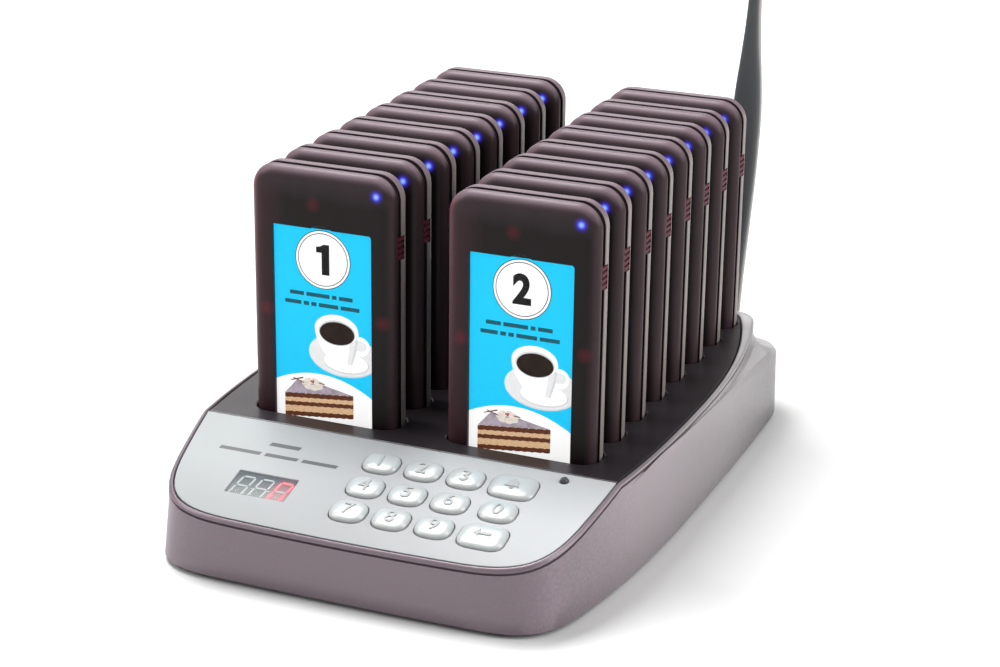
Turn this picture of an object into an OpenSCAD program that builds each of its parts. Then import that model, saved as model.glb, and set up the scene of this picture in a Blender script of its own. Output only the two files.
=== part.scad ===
// Queue calling set: a charging base with a keypad, sixteen slab pagers in two columns of
// pockets, and a paddle antenna. Z = 0 is the table, -Y is the front, and the origin is the
// middle of the base's footprint.

/* [Base] */
// Width of the base at its widest
base_width = 170.4; // [169:0.2:174]
// Depth of the base from front to rear
base_depth = 249; // [248:0.5:252]
// Height of the pager deck above the table
deck_height = 39; // [38:0.5:42]
// Slope of the keypad panel, in degrees
panel_slope = 16; // [14:0.5:17]
// Thickness of the moulded walls
wall = 2.2; // [1.8:0.1:2.4]

/* [Pagers] */
// Distance from one row of pagers to the next
pager_pitch = 21.8; // [21.6:0.1:22]
// Distance between the two columns of pagers
column_spacing = 76; // [75:0.5:77]
// Width of a pager
pager_width = 56; // [54:0.5:56.5]
// Height of a pager
pager_height = 116; // [112:1:120]
// Thickness of a pager
pager_thickness = 13; // [12.5:0.1:13.4]
// Radius of a pager's corners, seen from the front
pager_corner = 9.5; // [8:0.5:11]
// Width of the printed label card
label_width = 38.5; // [36:0.5:40]
// Height of the printed label card
label_height = 85; // [80:1:88]

/* [Keys] */
// Width of a digit key
key_width = 14; // [13:0.1:14.1]
// Depth of a digit key, down the slope
key_depth = 11.3; // [10.5:0.1:11.5]
// Travel of a key
key_travel = 1.2; // [0.8:0.1:1.2]

/* [Antenna] */
// Length of the blade from its hinge
blade_length = 168; // [150:1:180]
// Lean of the blade to the rear, in degrees
blade_lean = 5; // [3:0.5:8]

/* [Hidden] */
$fn = 48;

// Colours
housing_color = [0.50, 0.45, 0.48];
deck_color = [0.17, 0.14, 0.15];
panel_color = [0.86, 0.88, 0.89];
board_color = [0.10, 0.35, 0.18];
metal_color = [0.75, 0.75, 0.77];
gold_color = [0.83, 0.68, 0.30];
black_color = [0.10, 0.10, 0.11];

// Plan outline of the base: the sides bow in towards both ends as a power of the distance
half_width = base_width / 2;
front_y = -base_depth / 2;
rear_y = base_depth / 2;
bow_power = 2.5;
bow_reach = 115;
outline_steps = 24;
body_bows = [10, 2];
rim_bows = [10.5, 14.2];
insert_bows = [11.5, 19];
body_corner = 22;
rim_corner = 15;
rim_half_width = half_width - 1.3;
insert_half_width = half_width - 2.8;
deck_front_y = -70.5;
rim_rear_y = 116.3;
insert_front_y = front_y + 1.4;
insert_rear_y = 114.5;
housing_bottom = 1.5;
cover_thickness = 2;
fit_gap = 0.15;
lip = 0.8;

// Height of the body behind the keypad panel: the shoulder falls to a ledge at the rear
shoulder_points = [[60, deck_height - 7], [95, deck_height - 10], [rear_y, deck_height - 17]];

// Pockets in the deck
pager_rows = 8;
slot_clearance = 1;
slot_width = pager_width + 2 * slot_clearance;
slot_thickness = pager_thickness + 2.6;
slot_corner = 7;
pocket_wall = 1.2;
pocket_floor = 1.6;
pager_bottom = 15;
first_row_y = -59.5;

// Layers on the sloped panel, measured square to its face
panel_thickness = 2.2;
key_rise = 1.8;
key_flange = 0.6;
key_flange_top = -panel_thickness - 0.2;
key_flange_bottom = key_flange_top - 1.2;
board_top = -9.6;
board_thickness = 1.6;
mat_top = board_top + 1;
dome_top = board_top + 2.1;
key_foot = dome_top + key_travel + 0.1;
key_rows = [12.4, 26.1, 39.6];
key_columns = [-3.6, 12.4, 28.3, 46];
wide_key = [17.8, 13];
digit_key = [key_width, key_depth];
key_corner = 4;
KEYS = [
    ["key_1", 0, 0], ["key_2", 1, 0], ["key_3", 2, 0], ["key_call", 3, 0],
    ["key_4", 0, 1], ["key_5", 1, 1], ["key_6", 2, 1], ["key_0", 3, 1],
    ["key_7", 0, 2], ["key_8", 1, 2], ["key_9", 2, 2], ["key_delete", 3, 2]
];
window_size = [23.1, 12.3];
window_centre = [-39.5, 34.55];
module_size = [22.5, 14];
led_place = [61.4, 4.2];
led_radius = 1.5;
board_half_width = 64;
board_span = [2, 46];
panel_bosses = [[-59, 12], [59, 12], [-59, 40], [59, 40]];

// Case fasteners and charging boards
case_bosses = [[-72, -85], [72, -85], [-76, 10], [76, 10], [-75, 88], [75, 88]];
boss_radius = 3.2;
case_screw_radius = 1.4;
charge_board_z = 11.4;
charge_board_top = 13;
charge_board_x = [3, 69];
charge_board_y = [-64, 111];
charge_posts_y = [-50, 20, 95];
charge_post_x = 5.1;
pin_spacing = 16;
pin_y = 8.4;
pin_tip = pager_bottom + 0.35;
board_screw_radius = 1.1;

// Sockets on the rear wall
jack_x = -52;
jack_z = 13;
jack_bore = 3.2;
jack_pin = 1;
jack_depth = 9;
antenna_x = 53.5;
antenna_z = 14;
barrel_radius = 3.1;
running_gap = 0.05;
hinge_y = rear_y + 11.5;
hinge_radius = 4.5;
hinge_pin_radius = 1.2;
ear_inner = 2.3;
ear_outer = 4.6;
blade_thickness = 5;
blade_stem = 2.3;
blade_swell = 3.85;
blade_widest = 97;
blade_reach = [62, 33];
blade_tip = 6;

// Pager shells, seen with the front face at y = 0, the middle at x = 0 and the foot at z = 0
edge_radius = 4.4;
seam_y = 5;
seam_gap = 0.1;
shell_wall = 1.6;
cavity_front = 3;
label_bottom = 9.5;
recess_depth = 1.6;
part_gap = 0.1;
grille_z = 89.7;
grille_height = 8.8;
grille_span = [5.8, 9.4];
shell_screws = [[-21.5, 7], [21.5, 7], [-22.8, 100], [22.8, 100]];
led_spots = [[21.15, 109], [0, 106], [-21.5, 62.5], [24, 62.5]];

// ---------------------------------------------------------------- shared shapes

// Half the width of a bowed outline at a place along the base
function bowed(half, bows, y) =
    half - (y < 0 ? bows[0] : bows[1]) * pow(abs(y) / bow_reach, bow_power);

// Height of the sloped panel's face at a place in front of the deck
function slope_z(y) = deck_height + (y - deck_front_y) * tan(panel_slope);

// Number of a pager with two digits, counted from 1
function pager_name(index) = str("pager_", index < 9 ? "0" : "", index + 1);

module plan_outline(half, bows, ends, corner, inset = 0) {
    ys = [for (i = [0 : outline_steps]) ends[0] + (ends[1] - ends[0]) * i / outline_steps];
    right = [for (y = ys) [bowed(half, bows, y), y]];
    left = [for (i = [outline_steps : -1 : 0]) [-right[i][0], right[i][1]]];
    offset(r = corner) offset(delta = -corner - inset) polygon(concat(right, left));
}

module body_outline(inset = 0) {
    plan_outline(half_width, body_bows, [front_y, rear_y], body_corner, inset);
}

module rim_outline(inset = 0) {
    plan_outline(rim_half_width, rim_bows, [front_y, rim_rear_y], rim_corner, inset);
}

// The outline of the deck and panel together, which the housing's opening follows
module insert_outline(inset = 0) {
    ends = [insert_front_y, insert_rear_y];
    plan_outline(insert_half_width, insert_bows, ends, rim_corner, inset);
}

// The ledge under the deck and panel, wider than the opening where the rim leaves room
module lip_outline() {
    intersection() {
        insert_outline(-lip);
        rim_outline(wall + fit_gap);
    }
}

module rounded_rect(size, radius) {
    square([size[0] - 2 * radius, size[1]], center = true);
    square([size[0], size[1] - 2 * radius], center = true);
    for (sx = [-1, 1])
        for (sy = [-1, 1])
            translate([sx * (size[0] / 2 - radius), sy * (size[1] / 2 - radius)]) circle(radius);
}

module rounded_block(size, radius, low, high) {
    translate([0, 0, low]) linear_extrude(high - low) rounded_rect(size, radius);
}

module tube(outer, inner, height) {
    difference() {
        cylinder(r = outer, h = height);
        translate([0, 0, -1]) cylinder(r = inner, h = height + 2);
    }
}

// Turns a side view drawn as (y, z) into a solid across the base
module across(width) {
    rotate([90, 0, 90]) linear_extrude(width, center = true) children();
}

// Puts a shape on the sloped panel, with u to the right and v down the slope
module on_slope(u = 0, v = 0) {
    translate([0, deck_front_y, deck_height])
        rotate([panel_slope, 0, 0])
            translate([u, -v, 0]) children();
}

// The space between two heights square to the sloped panel
module slope_slab(low, high) {
    on_slope(0, 90) translate([-100, 0, low]) cube([200, 90, high - low]);
}

module in_slot(index) {
    column = index % 2;
    row = floor(index / 2);
    translate([(column - 0.5) * column_spacing, first_row_y + row * pager_pitch, 0]) children();
}

// ---------------------------------------------------------------- base

module side_view(points) {
    far = rear_y + 10;
    near = front_y - 10;
    last = points[len(points) - 1];
    polygon(concat(
        [[near, -10], [near, slope_z(near)], [deck_front_y, deck_height]],
        points,
        [[far, last[1]], [far, -10]]
    ));
}

// The base's outer form, or the space inside it when inset by the wall
module housing_form(inset, bottom) {
    height = deck_height + 10;
    intersection() {
        translate([0, 0, bottom]) linear_extrude(height) body_outline(inset);
        translate([0, 0, -inset]) across(200) side_view(shoulder_points);
    }
    intersection() {
        translate([0, 0, bottom]) linear_extrude(height) rim_outline(inset);
        translate([0, 0, -inset]) across(200) side_view([[rear_y, deck_height]]);
    }
}

module case_boss(place) {
    bottom = housing_bottom + cover_thickness + 0.1;
    side = sign(place[0]);
    translate([place[0], place[1], bottom]) cylinder(r = boss_radius, h = 21);
    translate([place[0] + side * 5, place[1], bottom + 10.5]) cube([10, 2.4, 21], center = true);
}

module base_housing() {
    color(housing_color)
        difference() {
            union() {
                difference() {
                    housing_form(0, housing_bottom);
                    housing_form(wall, -5);
                }
                intersection() {
                    housing_form(0.6, housing_bottom);
                    for (place = case_bosses) case_boss(place);
                }
            }
            translate([0, 0, 15]) linear_extrude(40) insert_outline();
            for (place = case_bosses)
                translate([place[0], place[1], 0]) cylinder(r = case_screw_radius + 0.02, h = 15);
            translate([jack_x, rear_y - 6, jack_z]) rotate([-90, 0, 0]) cylinder(r = 4.3, h = 12);
            translate([antenna_x, rear_y - 6, antenna_z])
                rotate([-90, 0, 0]) cylinder(r = barrel_radius + 0.2, h = 12);
        }
}

module base_bottom_cover() {
    top = housing_bottom + cover_thickness;
    color(deck_color)
        difference() {
            union() {
                translate([0, 0, housing_bottom])
                    linear_extrude(cover_thickness) body_outline(wall + fit_gap);
                for (side = [-1, 1])
                    for (y = charge_posts_y)
                        for (x = [charge_post_x, 65])
                            translate([side * x, y, top - 0.5])
                                cylinder(r = 2.5, h = charge_board_z - top + 0.5);
            }
            for (place = case_bosses)
                translate([place[0], place[1], 0]) {
                    cylinder(r = case_screw_radius + 0.2, h = 10);
                    cylinder(r = 2.9, h = 2.9);
                }
            for (side = [-1, 1])
                for (y = charge_posts_y)
                    translate([side * charge_post_x, y, 6])
                        cylinder(r = board_screw_radius + 0.02, h = 10);
            foot_places() translate([0, 0, -1]) cylinder(r = 6.2, h = 1 + housing_bottom + 0.6);
        }
}

module foot_places() {
    for (place = [[-62, -98], [62, -98], [-66, 102], [66, 102], [0, 0]])
        translate([place[0], place[1], 0]) children();
}

module rubber_feet() {
    color(black_color) foot_places() cylinder(r = 6, h = housing_bottom + 0.6);
}

module case_screws() {
    color(metal_color)
        for (place = case_bosses)
            translate([place[0], place[1], 1.7]) {
                cylinder(r = 2.6, h = 1.2);
                cylinder(r = case_screw_radius, h = 11);
            }
}

module slot_deck() {
    lip_top = deck_height - wall - 0.1;
    floor_bottom = pager_bottom - pocket_floor;
    pocket = [slot_width, slot_thickness];
    shell = [slot_width + 2 * pocket_wall, slot_thickness + 2 * pocket_wall];
    color(deck_color)
        difference() {
            union() {
                intersection() {
                    union() {
                        translate([0, 0, lip_top - 2])
                            linear_extrude(deck_height - lip_top + 2) insert_outline(fit_gap);
                        translate([0, 0, lip_top - 2]) linear_extrude(2) lip_outline();
                    }
                    translate([-100, deck_front_y + fit_gap, 0]) cube([200, 200, 60]);
                }
                for (index = [0 : 2 * pager_rows - 1])
                    in_slot(index)
                        translate([0, pager_thickness / 2, 0])
                            rounded_block(shell, slot_corner + pocket_wall, floor_bottom, lip_top);
            }
            for (index = [0 : 2 * pager_rows - 1])
                in_slot(index) {
                    translate([0, pager_thickness / 2, 0])
                        rounded_block(pocket, slot_corner, pager_bottom, deck_height + 1);
                    for (side = [-1, 1])
                        translate([side * pin_spacing / 2, pin_y, 10]) cylinder(r = 1.5, h = 10);
                }
        }
}

module charging_boards() {
    size = [charge_board_x[1] - charge_board_x[0], charge_board_y[1] - charge_board_y[0]];
    color(board_color)
        for (side = [-1, 1])
            difference() {
                translate([
                    side * (charge_board_x[0] + charge_board_x[1]) / 2,
                    (charge_board_y[0] + charge_board_y[1]) / 2,
                    0
                ])
                    rounded_block(size, 2, charge_board_z, charge_board_top);
                for (y = charge_posts_y)
                    translate([side * charge_post_x, y, 5])
                        cylinder(r = board_screw_radius + 0.1, h = 20);
            }
}

module charging_pins() {
    color(gold_color)
        for (index = [0 : 2 * pager_rows - 1])
            in_slot(index)
                for (side = [-1, 1])
                    translate([side * pin_spacing / 2, pin_y, charge_board_top]) {
                        cylinder(r = 1.2, h = 1.4);
                        cylinder(r = 0.7, h = pin_tip - charge_board_top);
                    }
}

// ---------------------------------------------------------------- keypad

function key_size(name) = name == "key_call" || name == "key_delete" ? wide_key : digit_key;

function grown(size, by) = [size[0] + by, size[1] + by];

module at_key(key) {
    on_slope(key_columns[key[1]], key_rows[key[2]]) children();
}

module keypad_panel() {
    color(panel_color)
        difference() {
            union() {
                intersection() {
                    linear_extrude(60) insert_outline(fit_gap);
                    slope_slab(-panel_thickness, 0);
                }
                intersection() {
                    linear_extrude(60)
                        difference() {
                            lip_outline();
                            insert_outline(3);
                        }
                    slope_slab(-panel_thickness - 1.4, -panel_thickness);
                }
                for (place = panel_bosses)
                    on_slope(place[0], place[1])
                        translate([0, 0, board_top])
                            cylinder(r = 2.6, h = -board_top - panel_thickness + 0.5);
            }
            translate([-100, deck_front_y - fit_gap, 0]) cube([200, 20, 60]);
            for (key = KEYS)
                at_key(key)
                    rounded_block(grown(key_size(key[0]), 0.5), key_corner + 0.25, -6, 2);
            on_slope(window_centre[0], window_centre[1]) {
                rounded_block(grown(window_size, 0.2), 0.8, -1.3, 2);
                rounded_block(grown(window_size, -2), 0.8, -6, 2);
            }
            on_slope(led_place[0], led_place[1])
                translate([0, 0, -8]) cylinder(r = led_radius + 0.1, h = 10);
            for (place = panel_bosses)
                on_slope(place[0], place[1])
                    translate([0, 0, board_top - 1]) cylinder(r = board_screw_radius + 0.02, h = 7);
        }
}

module key_cap(key) {
    size = key_size(key[0]);
    color(metal_color)
        at_key(key) {
            rounded_block(size, key_corner, key_flange_bottom, key_rise - 0.6);
            rounded_block(grown(size, -1.6), key_corner - 0.8, 0, key_rise);
            rounded_block(
                grown(size, 2 * key_flange), key_corner + key_flange,
                key_flange_bottom, key_flange_top
            );
            translate([0, 0, key_foot]) cylinder(r = 2, h = key_flange_bottom - key_foot + 0.5);
        }
}

module display_window() {
    color([0.55, 0.58, 0.60])
        on_slope(window_centre[0], window_centre[1]) rounded_block(window_size, 0.7, -1.2, 0);
}

module display_module() {
    high = -panel_thickness - 0.1;
    digit_pitch = 7.4;
    color([0.85, 0.85, 0.84])
        on_slope(window_centre[0], window_centre[1])
            difference() {
                rounded_block(module_size, 0.5, board_top, high);
                for (digit = [-1 : 1])
                    translate([digit * digit_pitch, 0, 0])
                        rounded_block([6.2, 10.4], 0.4, high - 0.4, high + 1);
            }
}

module status_led() {
    color("white")
        on_slope(led_place[0], led_place[1]) {
            translate([0, 0, board_top]) cylinder(r = led_radius, h = -board_top);
            translate([0, 0, board_top]) cylinder(r = led_radius + 0.4, h = 1);
            sphere(led_radius);
        }
}

module keypad_mat() {
    color([0.35, 0.36, 0.38])
        difference() {
            union() {
                on_slope(21, 26) rounded_block([70, 42], 3, board_top, mat_top);
                for (key = KEYS)
                    at_key(key)
                        translate([0, 0, board_top]) cylinder(r = 3, h = dome_top - board_top);
            }
            for (place = [[4.4, 19], [20.4, 19], [4.4, 33], [20.4, 33]])
                on_slope(place[0], place[1])
                    translate([0, 0, board_top - 1]) cylinder(r = 1, h = 4);
        }
}

module main_board() {
    size = [2 * board_half_width, board_span[1] - board_span[0]];
    color(board_color)
        difference() {
            on_slope(0, (board_span[0] + board_span[1]) / 2)
                rounded_block(size, 3, board_top - board_thickness, board_top - 0.02);
            for (place = panel_bosses)
                on_slope(place[0], place[1])
                    translate([0, 0, board_top - 3]) cylinder(r = board_screw_radius + 0.1, h = 5);
        }
}

module board_chips() {
    under = board_top - board_thickness - 0.02;
    color(black_color) {
        on_slope(10, 22) rounded_block([12, 12], 0.4, under - 1.6, under);
        on_slope(42, 18) rounded_block([18, 16], 0.6, under - 2.6, under);
        on_slope(-20, 30) rounded_block([10, 6], 0.3, under - 1.6, under);
        on_slope(-44, 14) rounded_block([12, 6], 0.3, under - 5, under);
        on_slope(-8, 12) translate([0, 0, under - 6]) cylinder(r = 3.1, h = 6);
    }
}

module beeper() {
    under = board_top - board_thickness - 0.02;
    color(black_color)
        on_slope(28, 36)
            translate([0, 0, under - 5.5])
                difference() {
                    cylinder(r = 6, h = 5.5);
                    translate([0, 0, -1]) cylinder(r = 1, h = 3);
                }
}

module board_screws() {
    under = board_top - board_thickness;
    color(metal_color) {
        for (place = panel_bosses)
            on_slope(place[0], place[1])
                translate([0, 0, under - 1.4]) {
                    cylinder(r = 2.2, h = 1.3);
                    cylinder(r = board_screw_radius, h = 7);
                }
        for (side = [-1, 1])
            for (y = charge_posts_y)
                translate([side * charge_post_x, y, charge_board_top + 0.1]) {
                    cylinder(r = 2.2, h = 1.3);
                    translate([0, 0, -6]) cylinder(r = board_screw_radius, h = 7);
                }
    }
}

// ---------------------------------------------------------------- sockets and antenna

// Puts a shape drawn upwards on the rear wall, pointing out to the rear
module on_rear_wall(x, z, y) {
    translate([x, y, z]) rotate([-90, 0, 0]) children();
}

module dc_jack() {
    inside = rear_y - wall - fit_gap;
    color(black_color)
        difference() {
            union() {
                translate([jack_x - 4.7, inside - 10.4, jack_z - 5.5]) cube([9.4, 10.4, 11]);
                on_rear_wall(jack_x, jack_z, inside - 1) cylinder(r = 4.1, h = rear_y - inside + 1);
            }
            on_rear_wall(jack_x, jack_z, rear_y - jack_depth) cylinder(r = jack_bore, h = 12);
        }
    color(metal_color)
        on_rear_wall(jack_x, jack_z, rear_y - jack_depth - 1)
            cylinder(r = jack_pin, h = jack_depth + 0.2);
}

module antenna_socket() {
    color(gold_color) {
        on_rear_wall(antenna_x, antenna_z, rear_y) cylinder(r = 5.4, h = 1.8, $fn = 6);
        on_rear_wall(antenna_x, antenna_z, rear_y - wall - 2) cylinder(r = 5.4, h = 1.9, $fn = 6);
        on_rear_wall(antenna_x, antenna_z, rear_y - 9) cylinder(r = barrel_radius, h = 15.8);
    }
}

module hinge_turn(radius, low, high) {
    translate([antenna_x + low, hinge_y, antenna_z])
        rotate([0, 90, 0]) cylinder(r = radius, h = high - low);
}

module antenna_elbow() {
    collar_y = rear_y + 2;
    color(black_color)
        difference() {
            union() {
                on_rear_wall(antenna_x, antenna_z, collar_y) cylinder(r = 5.2, h = 5);
                for (side = [-1, 1]) {
                    middle = side * (ear_inner + ear_outer) / 2;
                    half = (ear_outer - ear_inner) / 2;
                    hinge_turn(hinge_radius, middle - half, middle + half);
                    translate([
                        antenna_x + middle - half, collar_y + 4, antenna_z - hinge_radius
                    ])
                        cube([2 * half, hinge_y - collar_y - 4, 2 * hinge_radius]);
                }
            }
            on_rear_wall(antenna_x, antenna_z, collar_y - 1)
                cylinder(r = barrel_radius + running_gap, h = 5.9);
            hinge_turn(hinge_pin_radius + 0.01, -10, 10);
        }
}

module antenna_hinge_pin() {
    color(metal_color) hinge_turn(hinge_pin_radius, -ear_outer - 0.4, ear_outer + 0.4);
}

// Half the blade's width at a height above its hinge: a narrow stem that swells to a paddle
function blade_half(height) =
    let (
        reach = height < blade_widest ? blade_reach[0] : blade_reach[1],
        in_tip = max(0, height - blade_length + blade_tip) / blade_tip
    )
    (blade_stem + blade_swell * exp(-pow((height - blade_widest) / reach, 2)))
        * sqrt(max(0, 1 - in_tip * in_tip));

module antenna_blade() {
    steps = 42;
    start = 6.4;
    heights = [for (i = [0 : steps]) start + (blade_length - start) * i / steps];
    right = [for (h = heights) [blade_half(h), h]];
    left = [for (i = [steps - 1 : -1 : 0]) [-right[i][0], right[i][1]]];
    tongue = ear_inner - 0.15;
    color([0.24, 0.27, 0.29])
        difference() {
            union() {
                translate([antenna_x, hinge_y, antenna_z])
                    rotate([-blade_lean, 0, 0]) {
                        rotate([90, 0, 0])
                            linear_extrude(blade_thickness, center = true)
                                polygon(concat(right, left));
                        translate([-tongue, -blade_thickness / 2, 0])
                            cube([2 * tongue, blade_thickness, start + 1]);
                    }
                hinge_turn(hinge_radius - 0.5, -tongue, tongue);
            }
            hinge_turn(hinge_pin_radius + running_gap, -10, 10);
        }
}

// ---------------------------------------------------------------- pager

// Outer form of a pager, or of its inside when inset
module pager_form(inset) {
    middle = pager_height / 2;
    depth = pager_thickness / 2;
    front = [pager_width - 2 * inset, pager_height - 2 * inset];
    plan = [pager_width - 2 * inset, pager_thickness - 2 * inset];
    side = [pager_thickness - 2 * inset, pager_height - 2 * inset];
    intersection() {
        translate([0, depth, middle])
            rotate([90, 0, 0])
                linear_extrude(pager_thickness + 2, center = true)
                    rounded_rect(front, pager_corner - inset);
        translate([0, depth, middle])
            linear_extrude(pager_height + 2, center = true)
                rounded_rect(plan, edge_radius - inset);
        translate([0, depth, middle])
            across(pager_width + 2) rounded_rect(side, edge_radius - inset);
    }
}

module pager_cavity() {
    intersection() {
        pager_form(shell_wall);
        translate([-50, cavity_front, -10]) cube([100, 50, 200]);
    }
}

// A flat card shape on the front, between two depths
module card_shape(grow, low, high) {
    size = [label_width + 2 * grow, label_height + 2 * grow];
    translate([0, high, label_bottom + label_height / 2])
        rotate([90, 0, 0]) linear_extrude(high - low) rounded_rect(size, 1.2);
}

module front_shell() {
    color(deck_color)
        difference() {
            union() {
                difference() {
                    intersection() {
                        pager_form(0);
                        translate([-50, -1, -10]) cube([100, 1 + seam_y, 200]);
                    }
                    pager_cavity();
                }
                for (place = shell_screws)
                    translate([place[0], cavity_front - 0.5, place[1]])
                        rotate([-90, 0, 0]) cylinder(r = 2.2, h = 5);
            }
            card_shape(part_gap, -1, recess_depth);
            for (place = shell_screws)
                translate([place[0], cavity_front, place[1]])
                    rotate([-90, 0, 0]) cylinder(r = 0.82, h = 10);
        }
}

module rear_shell() {
    color(deck_color)
        difference() {
            intersection() {
                pager_form(0);
                translate([-50, seam_y + seam_gap, -10]) cube([100, 50, 200]);
            }
            pager_cavity();
            for (place = shell_screws)
                translate([place[0], 9, place[1]])
                    rotate([-90, 0, 0]) {
                        cylinder(r = 1, h = 10);
                        translate([0, 0, pager_thickness - 9 - 0.9]) cylinder(r = 1.9, h = 5);
                    }
            translate([pager_width / 2 - 4, grille_span[0], grille_z - grille_height / 2])
                cube([10, grille_span[1] - grille_span[0], grille_height]);
            for (side = [-1, 1])
                translate([side * pin_spacing / 2, pin_y, -1]) cylinder(r = 1.6, h = 4);
        }
}

module card_window() {
    color([0.75, 0.90, 0.95]) card_shape(0, 0.1, 0.9);
}

module label_card() {
    color([0.15, 0.75, 0.95]) card_shape(0, 1, 1.5);
}

module circuit_board() {
    color(board_color)
        translate([-20, cavity_front + 1.2, 14])
            cube([40, 1, 90]);
}

module pager_battery() {
    color([0.70, 0.72, 0.76])
        translate([0, 8.1, 40])
            rotate([90, 0, 0]) rounded_block([34, 46], 2, -2.6, 2.6);
}

module vibration_motor() {
    color(metal_color)
        translate([-14, 8.2, 76])
            rotate([0, 90, 0]) {
                cylinder(r = 2.4, h = 12);
                translate([0, 0, -3]) {
                    cylinder(r = 0.5, h = 3.5);
                    intersection() {
                        cylinder(r = 2.3, h = 2.4);
                        translate([-0.4, -3, 0]) cube([6, 6, 3]);
                    }
                }
            }
}

module pager_buzzer() {
    color(black_color)
        translate([14, 5.3, grille_z])
            rotate([-90, 0, 0])
                difference() {
                    cylinder(r = 5.5, h = 4);
                    translate([0, 0, 3]) cylinder(r = 1, h = 2);
                }
}

module pager_leds() {
    color("white")
        for (place = led_spots)
            translate([place[0] - 1.7, cavity_front + 0.1, place[1] - 1.4]) cube([3.4, 1, 2.8]);
}

module charge_contacts() {
    color(gold_color)
        for (side = [-1, 1])
            translate([side * pin_spacing / 2, pin_y, 0.45]) cylinder(r = 1.5, h = 1.5);
}

module side_grille() {
    ribs = 4;
    depth = grille_span[1] - grille_span[0] - 0.2;
    height = grille_height - 0.2;
    color([0.45, 0.22, 0.26])
        translate([pager_width / 2 - 1.5, grille_span[0] + 0.1, grille_z - height / 2]) {
            cube([0.8, depth, height]);
            for (rib = [0 : ribs - 1])
                translate([0, 0, 0.4 + rib * (height - 2) / (ribs - 1)]) cube([1.4, depth, 1.2]);
        }
}

module shell_screw_set() {
    color(metal_color)
        for (place = shell_screws)
            translate([place[0], 0, place[1]])
                rotate([-90, 0, 0]) {
                    translate([0, 0, 4]) cylinder(r = 0.8, h = 8.3);
                    translate([0, 0, pager_thickness - 0.85]) cylinder(r = 1.7, h = 0.8);
                }
}

module whole_pager() {
    front_shell();
    rear_shell();
    card_window();
    label_card();
    circuit_board();
    pager_battery();
    side_grille();
}

module in_pager(index) {
    in_slot(index) translate([0, 0, pager_bottom]) children();
}

// ---------------------------------------------------------------- nodes

base_bottom_cover();
base_housing();
slot_deck();
keypad_panel();
display_window();
display_module();
keypad_mat();
main_board();
board_chips();
charging_boards();
charging_pins();
status_led();
beeper();
dc_jack();
antenna_socket();
antenna_elbow();
antenna_hinge_pin();
antenna_blade();
rubber_feet();
case_screws();
board_screws();
for (key = KEYS)
    key_cap(key);
in_pager(0) front_shell();  // pager_01_front_shell
in_pager(0) rear_shell();  // pager_01_rear_shell
in_pager(0) card_window();  // pager_01_card_window
in_pager(0) label_card();  // pager_01_label_card
in_pager(0) circuit_board();  // pager_01_circuit_board
in_pager(0) pager_battery();  // pager_01_battery
in_pager(0) vibration_motor();  // pager_01_vibration_motor
in_pager(0) pager_buzzer();  // pager_01_buzzer
in_pager(0) pager_leds();  // pager_01_leds
in_pager(0) charge_contacts();  // pager_01_charge_contacts
in_pager(0) side_grille();  // pager_01_side_grille
in_pager(0) shell_screw_set();  // pager_01_screws
for (index = [1 : 2 * pager_rows - 1])
    in_pager(index) whole_pager();
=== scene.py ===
import math

import bmesh
import bpy
from mathutils import Matrix, Vector
from mathutils.geometry import delaunay_2d_cdt


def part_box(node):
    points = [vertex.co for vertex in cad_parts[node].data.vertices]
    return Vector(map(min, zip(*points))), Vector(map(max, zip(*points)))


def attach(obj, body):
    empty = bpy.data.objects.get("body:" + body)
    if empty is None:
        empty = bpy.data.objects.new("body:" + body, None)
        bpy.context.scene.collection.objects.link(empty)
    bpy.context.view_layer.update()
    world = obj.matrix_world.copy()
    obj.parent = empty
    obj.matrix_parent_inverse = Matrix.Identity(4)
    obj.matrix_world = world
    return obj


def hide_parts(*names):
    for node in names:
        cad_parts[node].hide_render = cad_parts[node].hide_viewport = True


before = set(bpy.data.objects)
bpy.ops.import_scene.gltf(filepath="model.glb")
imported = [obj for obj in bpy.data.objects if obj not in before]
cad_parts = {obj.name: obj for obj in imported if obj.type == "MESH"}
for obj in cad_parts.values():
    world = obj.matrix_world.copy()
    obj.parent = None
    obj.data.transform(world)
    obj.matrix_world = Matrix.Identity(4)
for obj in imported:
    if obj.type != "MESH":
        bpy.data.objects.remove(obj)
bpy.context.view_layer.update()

MM = 0.001

# ------------------------------------------------------------------ sizes, in millimetres
# The CAD nodes give the places. The names below repeat the base's plan rule and the profiles.

BASE_LOW, BASE_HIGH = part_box("base_housing")
FRONT_Y = BASE_LOW.y / MM
REAR_Y = BASE_HIGH.y / MM
HALF_WIDTH = BASE_HIGH.x / MM
DECK_Z = BASE_HIGH.z / MM
FLOOR_Z = BASE_LOW.z / MM
DECK_FRONT_Y = -70.5
SLOPE = math.radians(16)
BOW_POWER = 2.5
BOW_REACH = 115
RIM_REAR_Y = 116.3
INSERT_REAR_Y = 114.5
PAGER_LOW, PAGER_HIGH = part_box("pager_02")
PAGER_W = (PAGER_HIGH.x - PAGER_LOW.x) / MM
PAGER_T = (PAGER_HIGH.y - PAGER_LOW.y) / MM
PAGER_H = (PAGER_HIGH.z - PAGER_LOW.z) / MM
PAGER_CORNER = 9.0
PAGER_COUNT = 16
SEAM_FRONT = 4.2
SEAM_REAR = 7.0
LABEL_LOW, LABEL_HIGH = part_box("pager_01_label_card")
LABEL_W = (LABEL_HIGH.x - LABEL_LOW.x) / MM
LABEL_H = (LABEL_HIGH.z - LABEL_LOW.z) / MM
LABEL_BOTTOM = (LABEL_LOW.z - PAGER_LOW.z) / MM
DECK_IN_PAGER = DECK_Z - PAGER_LOW.z / MM
WINDOW_SIZE = (23.1, 12.3)


def add_object(name, data):
    made = bpy.data.objects.new(name, data)
    bpy.context.scene.collection.objects.link(made)
    return made


# ------------------------------------------------------------------ camera

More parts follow.
